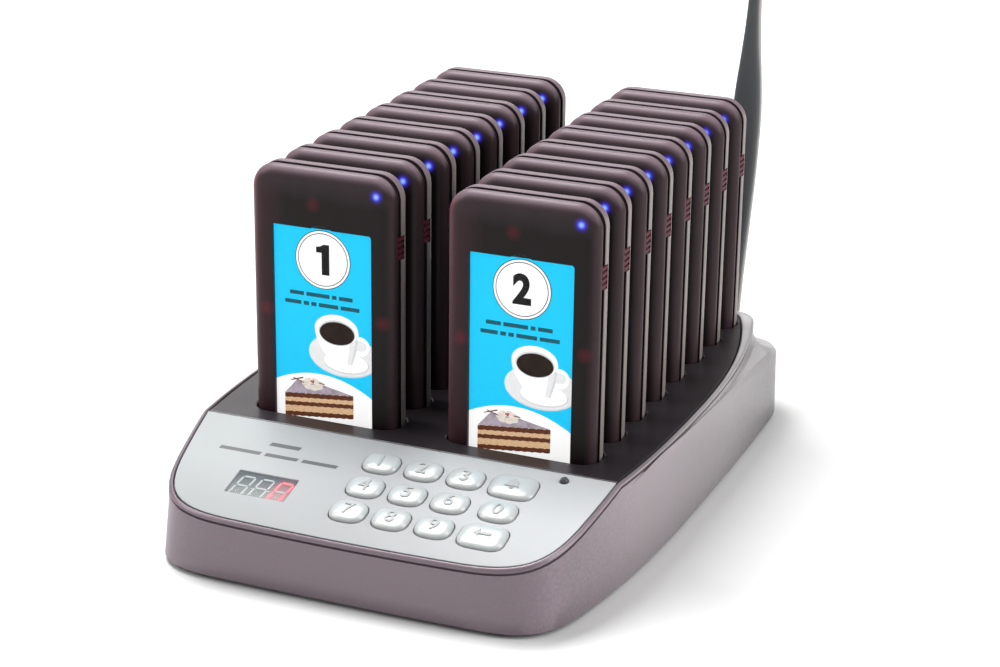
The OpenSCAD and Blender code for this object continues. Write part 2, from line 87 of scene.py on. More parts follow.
CAMERA_AZIMUTH = math.radians(22.73)
CAMERA_ELEVATION = math.radians(19.84)
CAMERA_ROLL = math.radians(0.75)
CAMERA_DISTANCE = 0.8268
CAMERA_TARGET = Vector((0.03067, -0.0595, 0.0816))


def make_camera():
    data = bpy.data.cameras.new("camera")
    data.sensor_width = 36
    data.lens = 86.52
    data.clip_start = 0.01
    camera = add_object("camera", data)
    back = Vector((
        math.sin(CAMERA_AZIMUTH) * math.cos(CAMERA_ELEVATION),
        -math.cos(CAMERA_AZIMUTH) * math.cos(CAMERA_ELEVATION),
        math.sin(CAMERA_ELEVATION),
    ))
    level = Vector((math.cos(CAMERA_AZIMUTH), math.sin(CAMERA_AZIMUTH), 0))
    upright = back.cross(level)
    right = level * math.cos(CAMERA_ROLL) + upright * math.sin(CAMERA_ROLL)
    up = upright * math.cos(CAMERA_ROLL) - level * math.sin(CAMERA_ROLL)
    turn = Matrix((right, up, back)).transposed().to_4x4()
    camera.matrix_world = Matrix.Translation(CAMERA_TARGET + back * CAMERA_DISTANCE) @ turn
    bpy.context.scene.camera = camera


make_camera()


# ------------------------------------------------------------------ materials

NONE, FULL = (0, 0, 0), (1, 1, 1)


class Shader:
    """A principled material and short ways to add nodes to it."""

    def __init__(self, name, color, roughness, metallic=0.0):
        self.material = bpy.data.materials.new(name)
        self.material.use_nodes = True
        self.tree = self.material.node_tree
        self.surface = self.tree.nodes["Principled BSDF"]
        self.coordinates = self.add("ShaderNodeTexCoord")
        self.place = self.coordinates.outputs["Object"]
        self.set("Base Color", color)
        self.set("Roughness", roughness)
        self.set("Metallic", metallic)

    def add(self, kind, inputs=(), **fields):
        """A node. Each of its inputs gets a value, a colour or another node's output."""
        node = self.tree.nodes.new(kind)
        for key, value in fields.items():
            setattr(node, key, value)
        for socket, value in dict(inputs).items():
            self.put(node.inputs[socket], value)
        return node

    def put(self, socket, value):
        if isinstance(value, bpy.types.NodeSocket):
            self.tree.links.new(value, socket)
        else:
            socket.default_value = (*value, 1) if isinstance(value, tuple) else value

    def set(self, socket, value):
        self.put(self.surface.inputs[socket], value)

    def noise(self, scale, detail=3.0):
        inputs = {"Scale": scale, "Detail": detail, "Vector": self.place}
        return self.add("ShaderNodeTexNoise", inputs).outputs["Fac"]

    def ramp(self, factor, stops):
        node = self.add("ShaderNodeValToRGB", {"Fac": factor})
        elements = node.color_ramp.elements
        while len(elements) < len(stops):
            elements.new(0.5)
        for element, (place, color) in zip(elements, stops):
            element.position = place
            element.color = (*color, 1)
        return node.outputs["Color"]

    def math(self, operation, *values):
        inputs = dict(enumerate(values))
        return self.add("ShaderNodeMath", inputs, operation=operation).outputs[0]

    def parts(self, source):
        """The x, y and z of a place or a direction."""
        return self.add("ShaderNodeSeparateXYZ", {0: source}).outputs

    def axis(self, name, scale=1.0, offset=0.0):
        """A coordinate in metres, scaled and then moved."""
        scaled = self.math("MULTIPLY", self.parts(self.place)[name], scale)
        return self.math("ADD", scaled, offset)

    def facing(self):
        return self.parts(self.coordinates.outputs["Normal"])

    def drift(self, scale, depth):
        """Noise about zero, which keeps the ramps' borders from being ruler straight."""
        return self.math("MULTIPLY", self.math("SUBTRACT", self.noise(scale), 0.5), depth)

    def mask(self, factor, low, high):
        return self.ramp(factor, [(low, NONE), (high, FULL)])

    def blend(self, factor, low, high, way="MIX"):
        """A mix of two colours. Each is a colour or the output of a node."""
        inputs = {"Factor": factor, 6: low, 7: high}
        return self.add("ShaderNodeMix", inputs, data_type="RGBA", blend_type=way).outputs[2]

    def distance(self, across, height, reach_mm):
        """Distance from a point at zero across and height, as a share of a reach."""
        squares = self.math("ADD", self.math("POWER", across, 2), self.math("POWER", height, 2))
        return self.math("MULTIPLY", self.math("SQRT", squares), 1 / (reach_mm * MM))

    def vary_color(self, low, high, scale):
        self.set("Base Color", self.ramp(self.noise(scale), [(0.3, low), (0.7, high)]))

    def finish(self, roughness, grain, specular=0.5):
        """Uneven gloss (low, high, noise scale) and a grain (scale, depth in mm, strength)."""
        low, high, scale = roughness
        gloss = {"Value": self.noise(scale, 2.0), "To Min": low, "To Max": high}
        self.set("Roughness", self.add("ShaderNodeMapRange", gloss).outputs["Result"])
        scale, depth, *strength = grain
        bump = {
            "Height": self.noise(scale, 2.0), "Distance": depth * MM,
            "Strength": strength[0] if strength else 0.4,
        }
        self.set("Normal", self.add("ShaderNodeBump", bump).outputs["Normal"])
        self.set("Specular IOR Level", specular)
        return self.material

    def glow(self, color, strength):
        self.set("Emission Color", color)
        self.set("Emission Strength", strength)


def shade(color, factor):
    return tuple(channel * factor for channel in color)


def moulded(
    name, color, roughness, grain=2500, depth=0.02, metallic=0.0, spread=0.12, specular=0.5
):
    """A moulded or plated finish: slight colour drift, uneven gloss and a fine grain."""
    made = Shader(name, color, roughness, metallic)
    made.vary_color(shade(color, 1 - spread), shade(color, 1 + spread), 60)
    return made.finish((roughness * 0.88, roughness * 1.12, 140), (grain, depth), specular)


# The ink's colour is lit at this share; a painted glow gives the rest.
LIT_SHARE = 0.4


def printed(name, color, spread=0.02, scale=700):
    """Ink on the label card, a little brighter than the light on it, as the photograph has it."""
    made = Shader(name, color, 0.42)
    pale, deep = shade(color, 1 + spread), shade(color, 1 - spread)
    made.vary_color(shade(deep, LIT_SHARE), shade(pale, LIT_SHARE), scale)
    # A painted glow on the ink, brighter than the lamps alone make it.
    made.glow(made.ramp(made.noise(scale), [(0.3, deep), (0.7, pale)]), 0.80)
    return made.finish((0.38, 0.46, 300), (1500, 0.006), 0.07)


def paint_material():
    """Mauve metallic paint, greyer towards the rear, with painted light and shade: darker at the
    front and rear, paler along the sides, and on faces that point up painted shade at the front and
    a painted highlight towards the rear.
    """
    made = Shader("mauve_paint", (0.20, 0.155, 0.175), 0.42, 0.35)
    along = made.axis("Y", 4.2, 0.5)
    # Painted light and shade along the housing: darker at the front and rear, paler along the sides.
    painted_side_tone = made.ramp(
        made.math("ADD", along, made.drift(900, 0.25)),
        [(0.0, (0.176, 0.134, 0.157)), (0.25, (0.280, 0.236, 0.257)),
         (0.67, (0.262, 0.235, 0.246)), (1.0, (0.112, 0.107, 0.107))],
    )
    # Faces that point up: painted shade at the front, a painted highlight towards the rear.
    painted_top_tone = made.ramp(
        along,
        [(0.0, (0.155, 0.116, 0.137)), (0.30, (0.22, 0.185, 0.200)),
         (0.60, (0.37, 0.342, 0.352)), (0.90, (0.39, 0.378, 0.378))],
    )
    top_highlight_mask = made.mask(made.facing()["Z"], 0.25, 0.85)
    made.set("Base Color", made.blend(top_highlight_mask, painted_side_tone, painted_top_tone))
    made.set("Coat Weight", 0.25)
    made.set("Coat Roughness", 0.22)
    return made.finish((0.34, 0.42, 300), (3500, 0.010, 0.25))


def pager_material(name, side, glowing=(), bead=None):
    """Smoked wine plastic, black on the flat face. Painted light: a mauve highlight on the top, wine
    light on the left sides that weakens lower down, and painted shade that sets the sides' tone by
    height.

    The face gets a painted highlight at its left edge and its top. The front shell also shows its
    lamps through the moulding.
    The rear shell has a painted highlight on its bead beside the seam, and painted shade in the seam
    and behind the bead.
    """
    made = Shader(name, (0.07, 0.05, 0.053), 0.36)
    facing = made.facing()
    drift = made.drift(120, 0.03)
    height = made.math("ADD", made.axis("Z", 1 / (PAGER_H * MM)), drift)
    # The sides' tone changes with height as painted light and shade.
    shaded_flank = made.ramp(height, [(0.20, shade(side, 1.1)), (0.60, shade(side, 0.9)), (0.92, side)])
    # Left-facing sides get painted wine light, weaker lower down.
    left_light = made.ramp(height, [(0.2, shade(LEFT_LIT_WINE, 0.5)), (0.85, LEFT_LIT_WINE)])
    left_light_mask = made.mask(made.math("SUBTRACT", drift, facing["X"]), 0.15, 0.60)
    # Faces that point up get a painted highlight.
    top_highlight_mask = made.mask(made.math("ADD", facing["Z"], drift), 0.22, 0.72)
    around = made.blend(top_highlight_mask, made.blend(left_light_mask, shaded_flank, left_light), TOP_HIGHLIGHT_MAUVE)
    # On the rear shell: a painted highlight on the bead, and painted shade in the seam groove and
    # behind the bead.
    if bead:
        low, high = SEAM_REAR / PAGER_T, bead / PAGER_T
        ridge = made.ramp(
            made.axis("Y", 1 / (PAGER_T * MM)),
            [(low - 0.01, NONE), (low + 0.01, FULL), (high - 0.04, FULL), (high + 0.04, NONE)],
        )
        around = made.blend(ridge, BEAD_SURROUND_SHADE, around)
    # The face gets a painted highlight down its left edge and along its top.
    across = made.math("ADD", made.axis("X", 1 / (PAGER_W * MM), 0.5), drift)
    margin = made.ramp(across, [(0.02, FACE_LEFT_HIGHLIGHT), (0.12, FACE_HIGHLIGHT_FADE), (0.26, FACE_BLACK)])
    face = made.blend(made.mask(height, 0.90, 0.985), margin, FACE_TOP_HIGHLIGHT)
    flat = made.mask(made.math("ADD", made.math("ABSOLUTE", facing["Y"]), drift), 0.80, 0.98)
    made.set("Base Color", made.blend(flat, around, face))
    if glowing:
        add_glow(made, glowing)
    return made.finish((0.32, 0.42, 220), (3000, 0.006, 0.3), 0.16)


# Painted highlight on the pagers' tops.
TOP_HIGHLIGHT_MAUVE = (0.140, 0.100, 0.117)
FRONT_FLANK = (0.032, 0.018, 0.021)
# Painted light on the pagers' left-facing sides, in wine.
LEFT_LIT_WINE = (0.125, 0.050, 0.060)
# Painted highlight on the rear shell's bead.
REAR_BEAD_HIGHLIGHT = (0.200, 0.168, 0.162)
# Painted shade in the seam groove and behind the bead.
BEAD_SURROUND_SHADE = (0.016, 0.010, 0.012)
FACE_BLACK = (0.0098, 0.0062, 0.0066)
# The next two colours are a painted highlight fading in from the face's left edge.
FACE_HIGHLIGHT_FADE = (0.030, 0.0125, 0.0150)
FACE_LEFT_HIGHLIGHT = (0.048, 0.0190, 0.0235)
# Painted highlight along the face's top.
FACE_TOP_HIGHLIGHT = (0.040, 0.0270, 0.0320)
BLUE_SPOT = (21.6, 109.4)
RED_SPOTS = [(-3.0, 103.6), (-22.0, 62.8), (23.8, 63.2)]


def add_glow(made, red_spots):
    """A blue lamp and faint red lamps, as light that fades with distance."""
    blue = [
        (0.0, (0.34, 0.52, 1.0)), (0.24, (0.15, 0.26, 0.95)), (0.45, (0.030, 0.028, 0.50)),
        (0.70, (0.008, 0.003, 0.09)), (1.0, NONE),
    ]
    red = [(0.0, (0.050, 0.001, 0.004)), (0.45, (0.026, 0.001, 0.003)), (1.0, NONE)]
    total = None
    for spot, reach, stops in [(BLUE_SPOT, 3.0, blue), *((spot, 3.4, red) for spot in red_spots)]:
        across, height = made.axis("X", 1, -spot[0] * MM), made.axis("Z", 1, -spot[1] * MM)
        light = made.ramp(made.distance(across, height, reach), stops)
        total = made.blend(1, total, light, "ADD") if total else light
    made.glow(total, 1.2)


def clear_material(name, tint, opacity):
    """A thin clear sheet: nearly see-through, with a faint uneven gloss."""
    made = Shader(name, tint, 0.10)
    made.vary_color(shade(tint, 0.96), tint, 40)
    made.set("Alpha", opacity)
    return made.finish((0.06, 0.14, 90), (160, 0.01, 0.15))


def glowing_material(name, color, strength):
    """A lit bar: coloured plastic with its own slightly uneven light."""
    made = Shader(name, color, 0.4)
    made.vary_color(shade(color, 0.5), shade(color, 0.6), 900)
    made.glow(made.ramp(made.noise(900), [(0.2, shade(color, 0.85)), (0.8, color)]), strength)
    return made.finish((0.34, 0.44, 500), (1500, 0.005), 0.15)


def antenna_material():
    """Dark grey moulding with a paler right edge, where the blade turns to the light."""
    made = Shader("antenna_grey", (0.05, 0.05, 0.052), 0.32)
    sideways = made.math("ADD", made.math("MULTIPLY", made.facing()["X"], 0.5), 0.5)
    color = made.ramp(
        made.math("ADD", sideways, made.drift(90, 0.15)),
        [(0.0, (0.052, 0.058, 0.063)), (0.66, (0.076, 0.080, 0.085)),
         (0.84, (0.13, 0.13, 0.125)), (0.95, (0.29, 0.29, 0.275))],
    )
    made.set("Base Color", color)
    return made.finish((0.40, 0.50, 200), (1200, 0.012), 0.25)


def display_face_material():
    """Grey display face with painted shade at its upper edge, pale below, and a painted red glow by
    digit three.
    """
    made = Shader("display_face", (0.3, 0.32, 0.33), 0.35)
    up = made.axis("Y", 1 / (WINDOW_SIZE[1] * MM), 0.5)
    # Painted shade at the upper edge.
    shadow = made.ramp(
        made.math("ADD", up, made.math("MULTIPLY", made.noise(700), 0.04)),
        [(0.0, (0.180, 0.195, 0.185)), (0.50, (0.105, 0.118, 0.122)),
         (0.92, (0.038, 0.047, 0.060))],
    )
    made.set("Base Color", shadow)
    # A painted red glow on the face by the lit digit.
    far = made.distance(made.axis("X", 1, -7.6 * MM), made.axis("Y", 0.6, 0.9 * MM), 5.6)
    bloom = made.ramp(far, [(0.0, (0.62, 0.08, 0.12)), (0.55, (0.36, 0.04, 0.06)), (1.0, NONE)])
    made.glow(bloom, 0.55)
    return made.finish((0.30, 0.40, 400), (1500, 0.005), 0.12)


def panel_material():
    """Pale silver sheet, painted darker towards its left end and its front and paler towards its
    right end: painted light and shade against the lamps' uneven light on it.
    """
    made = Shader("panel_silver", (0.40, 0.41, 0.415), 0.50)
    # Painted shade towards the left end and painted light towards the right end.
    place = made.math(
        "ADD", made.axis("X", 6.0, 0.48), made.math("MULTIPLY", made.noise(60), 0.04)
    )
    stops = [
        (0.0, (0.328, 0.343, 0.345)), (0.5, (0.338, 0.343, 0.348)), (0.95, (0.445, 0.453, 0.460))
    ]
    # Painted shade towards the front: the same colours, darker.
    front = [(at, shade(color, 0.82)) for at, color in stops]
    front_shade_mask = made.mask(made.axis("Y", -18), 0.45, 1.0)
    made.set("Base Color", made.blend(front_shade_mask, made.ramp(place, stops), made.ramp(place, front)))
    return made.finish((0.45, 0.55, 140), (4200, 0.006), 0.2)


PAINT = paint_material()
DECK = moulded("deck_plastic", (0.0200, 0.0155, 0.0188), 0.38, 2200, 0.010, specular=0.4)
PAGER_FRONT = pager_material("pager_front_plastic", FRONT_FLANK, RED_SPOTS)
PAGER_BEHIND = pager_material("pager_behind_plastic", FRONT_FLANK, RED_SPOTS[:2])
PAGER_REAR = pager_material("pager_rear_plastic", REAR_BEAD_HIGHLIGHT, bead=11.3)
PANEL = panel_material()
KEY = moulded("key_pearl", (0.425, 0.442, 0.438), 0.30, 3000, 0.004, 0.15, 0.02)
KEY_MARK = moulded("key_mark", (0.345, 0.355, 0.352), 0.5, 3000, 0.004, 0.0, 0.02, 0.2)
INK = moulded("grey_ink", (0.058, 0.061, 0.064), 0.5, 2000, 0.01)
BLACK_INK = printed("card_black", (0.006, 0.005, 0.005))
CARD = printed("card_cyan", (0.006, 0.56, 0.91))
WORD_INK = printed("card_words", (0.008, 0.085, 0.120), 0.1)
WHITE = printed("card_white", (0.97, 0.97, 0.965))
PALE = printed("card_pale_grey", (0.64, 0.65, 0.66), 0.05)
COFFEE = printed("card_coffee", (0.014, 0.005, 0.002), 0.4, 300)
CREAM = printed("card_cream", (0.66, 0.43, 0.25), 0.28, 2600)
CHOCOLATE = printed("card_chocolate", (0.105, 0.030, 0.012), 0.55, 2600)
ICING = printed("card_icing", (0.36, 0.31, 0.36), 0.22, 500)
BERRY = printed("card_berry", (0.30, 0.020, 0.045), 0.3, 900)
SOFT = printed("card_soft_grey", (0.77, 0.775, 0.78), 0.03)
SWIRL = printed("card_swirl", (0.74, 0.66, 0.58), 0.14, 900)
LABEL_INKS = [
    CARD, WHITE, BLACK_INK, PALE, COFFEE, CREAM, CHOCOLATE, ICING, BERRY, WORD_INK, SOFT, SWIRL
]
WINDOW = clear_material("card_window_clear", (0.30, 0.32, 0.33), 0.02)
LENS = clear_material("display_lens_clear", (0.50, 0.55, 0.58), 0.04)
SEGMENT = moulded("segment_pale", (0.34, 0.365, 0.355), 0.4, 900, 0.01, 0.0, 0.05, 0.2)
SEGMENT_RED = glowing_material("segment_red", (1.0, 0.11, 0.13), 1.7)
FACE = display_face_material()
# Wine plastic ribs, painted redder for the red lamp light that shows through the slots.
GRILLE_WINE_RED_GLOW = moulded("grille_wine_red_glow", (0.070, 0.010, 0.020), 0.5, 1800, specular=0.15)
ANTENNA = antenna_material()
ANTENNA_BLACK = moulded("antenna_black", (0.020, 0.021, 0.022), 0.38, 1800, 0.015)
RUBBER = moulded("black_rubber", (0.020, 0.020, 0.021), 0.75, 1500, 0.04)
COVER = moulded("cover_plastic", (0.030, 0.026, 0.028), 0.5, 1400, 0.04)
BOARD = moulded("board_green", (0.012, 0.105, 0.045), 0.35, 500, 0.02, 0.0, 0.25)
COMPONENT = moulded("component_black", (0.018, 0.018, 0.020), 0.5, 1600, 0.02)
STEEL = moulded("plated_steel", (0.60, 0.60, 0.61), 0.28, 1200, 0.01, 1.0, 0.06)
GOLD = moulded("gold_flash", (0.80, 0.58, 0.24), 0.22, 1500, 0.005, 1.0, 0.06)
FOIL = moulded("battery_foil", (0.56, 0.58, 0.60), 0.32, 250, 0.08, 0.9, 0.08)
STATUS = moulded("status_smoke", (0.045, 0.045, 0.048), 0.3, 800, 0.01)
LAMP = moulded("lamp_epoxy", (0.55, 0.60, 0.66), 0.2, 800, 0.01, 0.0, 0.08)
DOMES = moulded("mat_grey", (0.10, 0.10, 0.11), 0.65, 1500, 0.03)


# ------------------------------------------------------------------ mesh helpers

def new_mesh(name, points, faces, materials):
    """A mesh in metres from points in millimetres."""
    mesh = bpy.data.meshes.new(name)
    mesh.from_pydata([Vector(p) * MM for p in points], [], faces)
    for material in materials:
        mesh.materials.append(material)
    return mesh


def smooth_mesh(name, points, faces, materials, angle=30, face_ink=None):
    mesh = new_mesh(name, points, faces, materials)
    if face_ink:
        mesh.polygons.foreach_set("material_index", face_ink)
    tidy_normals(mesh, angle)
    return mesh


def make_piece(name, points, faces, materials, *place, angle=35, face_ink=None, **more):
    """A mesh piece from points in millimetres. The rest goes to place_piece."""
    mesh = smooth_mesh(name, points, faces, materials, angle, face_ink)
    return place_piece(name, mesh, *place, **more)


def tidy_normals(mesh, angle):
    made = bmesh.new()
    made.from_mesh(mesh)
    bmesh.ops.recalc_face_normals(made, faces=made.faces)
    made.to_mesh(mesh)
    made.free()
    mesh.shade_smooth()
    mesh.set_sharp_from_angle(angle=math.radians(angle))


def place_piece(name, mesh, body, slot=None, replaces=(), frame_matrix=None):
    piece = add_object(name, mesh)
    if frame_matrix is not None:
        piece.matrix_world = frame_matrix
    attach(piece, body)
    if replaces:
        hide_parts(*replaces)
    return piece


def loft(rings, start=0, closed=False, cap_first=False, cap_last=False):
    """Quads between rings of equal length, with flat ends where asked."""
    count = len(rings[0])
    points = [point for ring in rings for point in ring]
    faces = []
    pairs = [(k, k + 1) for k in range(len(rings) - 1)]
    if closed:
        pairs.append((len(rings) - 1, 0))
    for low, high in pairs:
        for i in range(count):
            j = (i + 1) % count
            faces.append([
                start + low * count + i, start + low * count + j,
                start + high * count + j, start + high * count + i,
            ])
    if cap_first:
        faces.append([start + i for i in range(count)])
    if cap_last:
        last = (len(rings) - 1) * count
        faces.append([start + last + i for i in range(count)])
    return points, faces


def capped(rings):
    return loft(rings, cap_first=True, cap_last=True)


def clamp(low, high, value):
    return max(low, min(high, value))


def lift(ring, z):
    return [(x, y, z) for x, y in ring]


def prism(ring, low, high):
    return capped([lift(ring, low), lift(ring, high)])


def rectangle(left, low, right, high):
    return [(left, low), (right, low), (right, high), (left, high)]


def turns(count):
    return [2 * math.pi * k / count for k in range(count)]


def circle(centre, radius, count):
    """A circle's points, anticlockwise."""
    return [
        (centre[0] + radius * math.cos(a), centre[1] + radius * math.sin(a)) for a in turns(count)
    ]


def power_point(angle, half, power):
    """A point on a rounded or squared ellipse."""
    c, s = math.cos(angle), math.sin(angle)
    return tuple(
        h * math.copysign(abs(part) ** p, part) for h, p, part in zip(half, power, (c, s))
    )


def from_gap(ring):
    """The points of an open ring, turned to start after the widest gap."""
    gaps = [(Vector(point) - Vector(ring[i - 1])).length for i, point in enumerate(ring)]
    start = gaps.index(max(gaps))
    return ring[start:] + ring[:start]


def rounded_ring(width, height, corner, corner_steps=8, top_steps=1, centre=(0, 0)):
    """A rounded rectangle from its upper right corner, anticlockwise."""
    ring = []
    spots = [(1, 1, 0), (-1, 1, 90), (-1, -1, 180), (1, -1, 270)]
    for index, (sx, sy, turn) in enumerate(spots):
        for k in range(corner_steps + 1):
            a = math.radians(turn + 90 * k / corner_steps)
            ring.append((
                centre[0] + sx * (width / 2 - corner) + corner * math.cos(a),
                centre[1] + sy * (height / 2 - corner) + corner * math.sin(a),
            ))
        if index == 0:
            for k in range(1, top_steps):
                x = (width / 2 - corner) * (1 - 2 * k / top_steps)
                ring.append((centre[0] + x, centre[1] + height / 2))
    return ring


def inset_ring(ring, distance):
    """Moves an anticlockwise ring's points inwards along its normals."""
    moved = []
    count = len(ring)
    for i in range(count):
        before, after = Vector(ring[i - 1]), Vector(ring[(i + 1) % count])
        along = (after - before).normalized()
        moved.append((ring[i][0] - along.y * distance, ring[i][1] + along.x * distance))
    return moved


def inside(point, ring):
    x, y = point
    within = False
    for i, (x1, y1) in enumerate(ring):
        x0, y0 = ring[i - 1]
        if (y0 > y) != (y1 > y) and x < (x1 - x0) * (y - y0) / (y1 - y0) + x0:
            within = not within
    return within


def fill_between(outline, holes):
    """Triangles that fill an outline around its holes. Points keep their order."""
    points, edges = [], []
    for ring in [outline, *holes]:
        first = len(points)
        points += [Vector(p) for p in ring]
        edges += [(first + i, first + (i + 1) % len(ring)) for i in range(len(ring))]
    found = delaunay_2d_cdt(points, edges, [], 0, 1e-6)
    origin = [sources[0] if sources else None for sources in found[3]]
    faces = []
    for face in found[2]:
        middle = sum((found[0][i] for i in face), Vector((0, 0))) / len(face)
        if inside(middle, outline) and not any(inside(middle, hole) for hole in holes):
            if all(origin[i] is not None for i in face):
                faces.append([origin[i] for i in face])
    return faces


LIP_SHARE = 0.35


def room_between(outline, ring):
    """The least distance from a ring's points to an outline."""
    least = math.inf
    for i, end in enumerate(outline):
        start = Vector(outline[i - 1])
        along = Vector(end) - start
        for point in ring:
            offset = Vector(point) - start
            share = clamp(0, 1, offset.dot(along) / along.length_squared)
            least = min(least, (offset - along * share).length)
    return least


def plate(outline, holes, top, bottom, fillet, hole_floor=None, skirt=None):
    """A closed plate with rounded upper edges. Holes go through, or down to a floor.

    A hole close to the outline gets a smaller rounding, so that the two edges don't meet.
    """
    drop = fillet * LIP_SHARE
    points, faces = [], []

    def add_rings(rings, cap_last=False):
        made, quads = loft(rings, len(points), cap_last=cap_last)
        points.extend(made)
        faces.extend(quads)

    inner = inset_ring(outline, fillet)
    middle = inset_ring(outline, drop)
    outer_rings = [lift(inner, top), lift(middle, top - drop), lift(outline, top - fillet)]
    if skirt:
        outer_rings += [lift(outline, skirt[0]), lift(inset_ring(outline, skirt[1]), skirt[0])]
        lower = inset_ring(outline, skirt[1])
    else:
        lower = outline
    outer_rings.append(lift(lower, bottom))
    blind = hole_floor is not None
    top_starts = [0]
    add_rings(outer_rings, cap_last=blind)
    bottom_starts = [len(points) - len(outline)]
    lips = [min(fillet, max(0.1, room_between(outline, hole) - fillet - 0.1)) for hole in holes]
    floor = hole_floor if blind else bottom
    for hole, lip in zip(holes, lips):
        top_starts.append(len(points))
        drop = lip * LIP_SHARE
        wide, mid = inset_ring(hole, -lip), inset_ring(hole, -drop)
        add_rings(
            [lift(wide, top), lift(mid, top - drop), lift(hole, top - lip), lift(hole, floor)],
            cap_last=blind,
        )
        bottom_starts.append(len(points) - len(hole))

    def fill(rings, starts):
        owner = [starts[n] + k for n, ring in enumerate(rings) for k in range(len(ring))]
        for face in fill_between(rings[0], rings[1:]):
            faces.append([owner[i] for i in face])

    fill([inner] + [inset_ring(hole, -lip) for hole, lip in zip(holes, lips)], top_starts)
    if not blind:
        fill([lower] + list(holes), bottom_starts)
    return points, faces


def cut_box(mesh, low, high):
    """Cuts a box, given in millimetres, out of a mesh."""
    box_points = [
        (x, y, z) for x in (low[0], high[0]) for y in (low[1], high[1]) for z in (low[2], high[2])
    ]
    box_faces = [
        [0, 1, 3, 2], [4, 6, 7, 5], [0, 4, 5, 1], [2, 3, 7, 6], [0, 2, 6, 4], [1, 5, 7, 3]
    ]
    return cut_shape(mesh, box_points, box_faces)


def cut_shape(mesh, points, faces):
    """Cuts a closed shape, given in millimetres, out of a mesh."""
    tool = add_object("cut_tool", new_mesh("cut_tool", points, faces, []))
    body = add_object("cut_body", mesh)
    modifier = body.modifiers.new("cut", "BOOLEAN")
    modifier.operation = "DIFFERENCE"
    modifier.object = tool
    return final_mesh(body, tool)


def final_mesh(source, *helpers):
    """The mesh that an object ends up with. The object and its helpers are then removed."""
    bpy.context.view_layer.update()
    seen = source.evaluated_get(bpy.context.evaluated_depsgraph_get())
    mesh = bpy.data.meshes.new_from_object(seen)
    for part in (source, *helpers):
        bpy.data.objects.remove(part)
    return mesh


def text_shape(text, height, weight):
    """A number as flat triangles about its own middle, in millimetres."""
    data = bpy.data.curves.new("digits", "FONT")
    data.body = text
    data.offset = weight
    data.resolution_u = 6
    mesh = final_mesh(add_object("digits", data))
    xs = [v.co.x for v in mesh.vertices]
    ys = [v.co.y for v in mesh.vertices]
    scale = height / (max(ys) - min(ys))
    middle = ((max(xs) + min(xs)) / 2, (max(ys) + min(ys)) / 2)
    points = [((x - middle[0]) * scale, (y - middle[1]) * scale) for x, y in zip(xs, ys)]
    return points, [list(p.vertices) for p in mesh.polygons]


# ------------------------------------------------------------------ base outlines

SIDE_ROWS = 15
CORNER_ROWS = 12
EDGE_ROWS = 6


def bowed(half, bows, y):
    bow = bows[0] if y < 0 else bows[1]
    return half - bow * (abs(y) / BOW_REACH) ** BOW_POWER


def corner_curve(start, direction, end):
    """A corner from a bowed side to a straight end, tangent to both."""
    reach = 0.5 * (Vector(end) - Vector(start)).length
    p0, p3 = Vector(start), Vector(end)
    p1 = p0 + Vector(direction).normalized() * reach
    p2 = p3 + Vector((1, 0)) * reach
    curve = []
    for k in range(1, CORNER_ROWS + 1):
        t = k / CORNER_ROWS
        s = 1 - t
        curve.append(tuple(p0 * s ** 3 + p1 * 3 * s * s * t + p2 * 3 * s * t * t + p3 * t ** 3))
    return curve


def base_outline(half, bows, ends, corners, crowns):
    """The base's plan outline, anticlockwise, with a row of points at the deck's front.

    Each corner is (size across, size along the base). A crown bows the front or rear edge out.
    """
    low_y, high_y = ends[0] + corners[0][1], ends[1] - corners[1][1]
    rows = [low_y + (DECK_FRONT_Y - low_y) * k / SIDE_ROWS for k in range(SIDE_ROWS)]
    behind = 2 * SIDE_ROWS
    rows += [DECK_FRONT_Y + (high_y - DECK_FRONT_Y) * k / behind for k in range(behind + 1)]
    side = [(bowed(half, bows, y), y) for y in rows]
    step = 0.5

    def corner(y, end, size, sign):
        here = (bowed(half, bows, y), y)
        ahead = (bowed(half, bows, y + sign * step), y + sign * step)
        heading = (ahead[0] - here[0], ahead[1] - here[1])
        return corner_curve(here, heading, (here[0] - size, end))

    front = corner(low_y, ends[0], corners[0][0], -1)
    rear = corner(high_y, ends[1], corners[1][0], 1)
    front_x, rear_x = front[-1][0], rear[-1][0]
    front_edge = [(front_x * k / EDGE_ROWS, ends[0]) for k in range(EDGE_ROWS)]
    rear_edge = [(rear_x * k / EDGE_ROWS, ends[1]) for k in range(EDGE_ROWS)]
    right = front_edge + front[::-1] + side + rear + rear_edge[:0:-1]
    right.append((0, ends[1]))

    def crowned(point):
        x, y = point
        share = (x / half) ** 2
        front_share = clamp(0, 1, (low_y - y) / corners[0][1])
        rear_share = clamp(0, 1, (y - high_y) / corners[1][1])
        return (x, y + share * (crowns[0] * front_share - crowns[1] * rear_share))

    right = [crowned(point) for point in right]
    return right + [(-x, y) for x, y in right[-2:0:-1]]


def top_z(y):
    return DECK_Z + min(0, y - DECK_FRONT_Y) * math.tan(SLOPE)


def smooth_step(low, high, value):
    t = clamp(0, 1, (value - low) / (high - low))
    return t * t * (3 - 2 * t)


def crease_z(y):
    """Height of the shoulder's outer crease, which falls towards the rear."""
    run = y + 59.5
    return DECK_Z - 0.054 * run - 5 * (max(0, run - 110) / 74) ** 2


BODY_RING = base_outline(
    HALF_WIDTH, (10.4, 2), (FRONT_Y, REAR_Y), ((29, 25), (28, 28)), (1.8, 0.8)
)
RIM_RING = base_outline(
    HALF_WIDTH - 1.3, (10.8, 14.2), (FRONT_Y + 0.05, RIM_REAR_Y), ((32, 27), (13, 12)), (2.8, 0.6)
)
INSERT_RING = base_outline(
    HALF_WIDTH - 2.7, (11.0, 19), (FRONT_Y + 1.2, INSERT_REAR_Y), ((31, 26), (13, 12)), (2.8, 0.5)
)
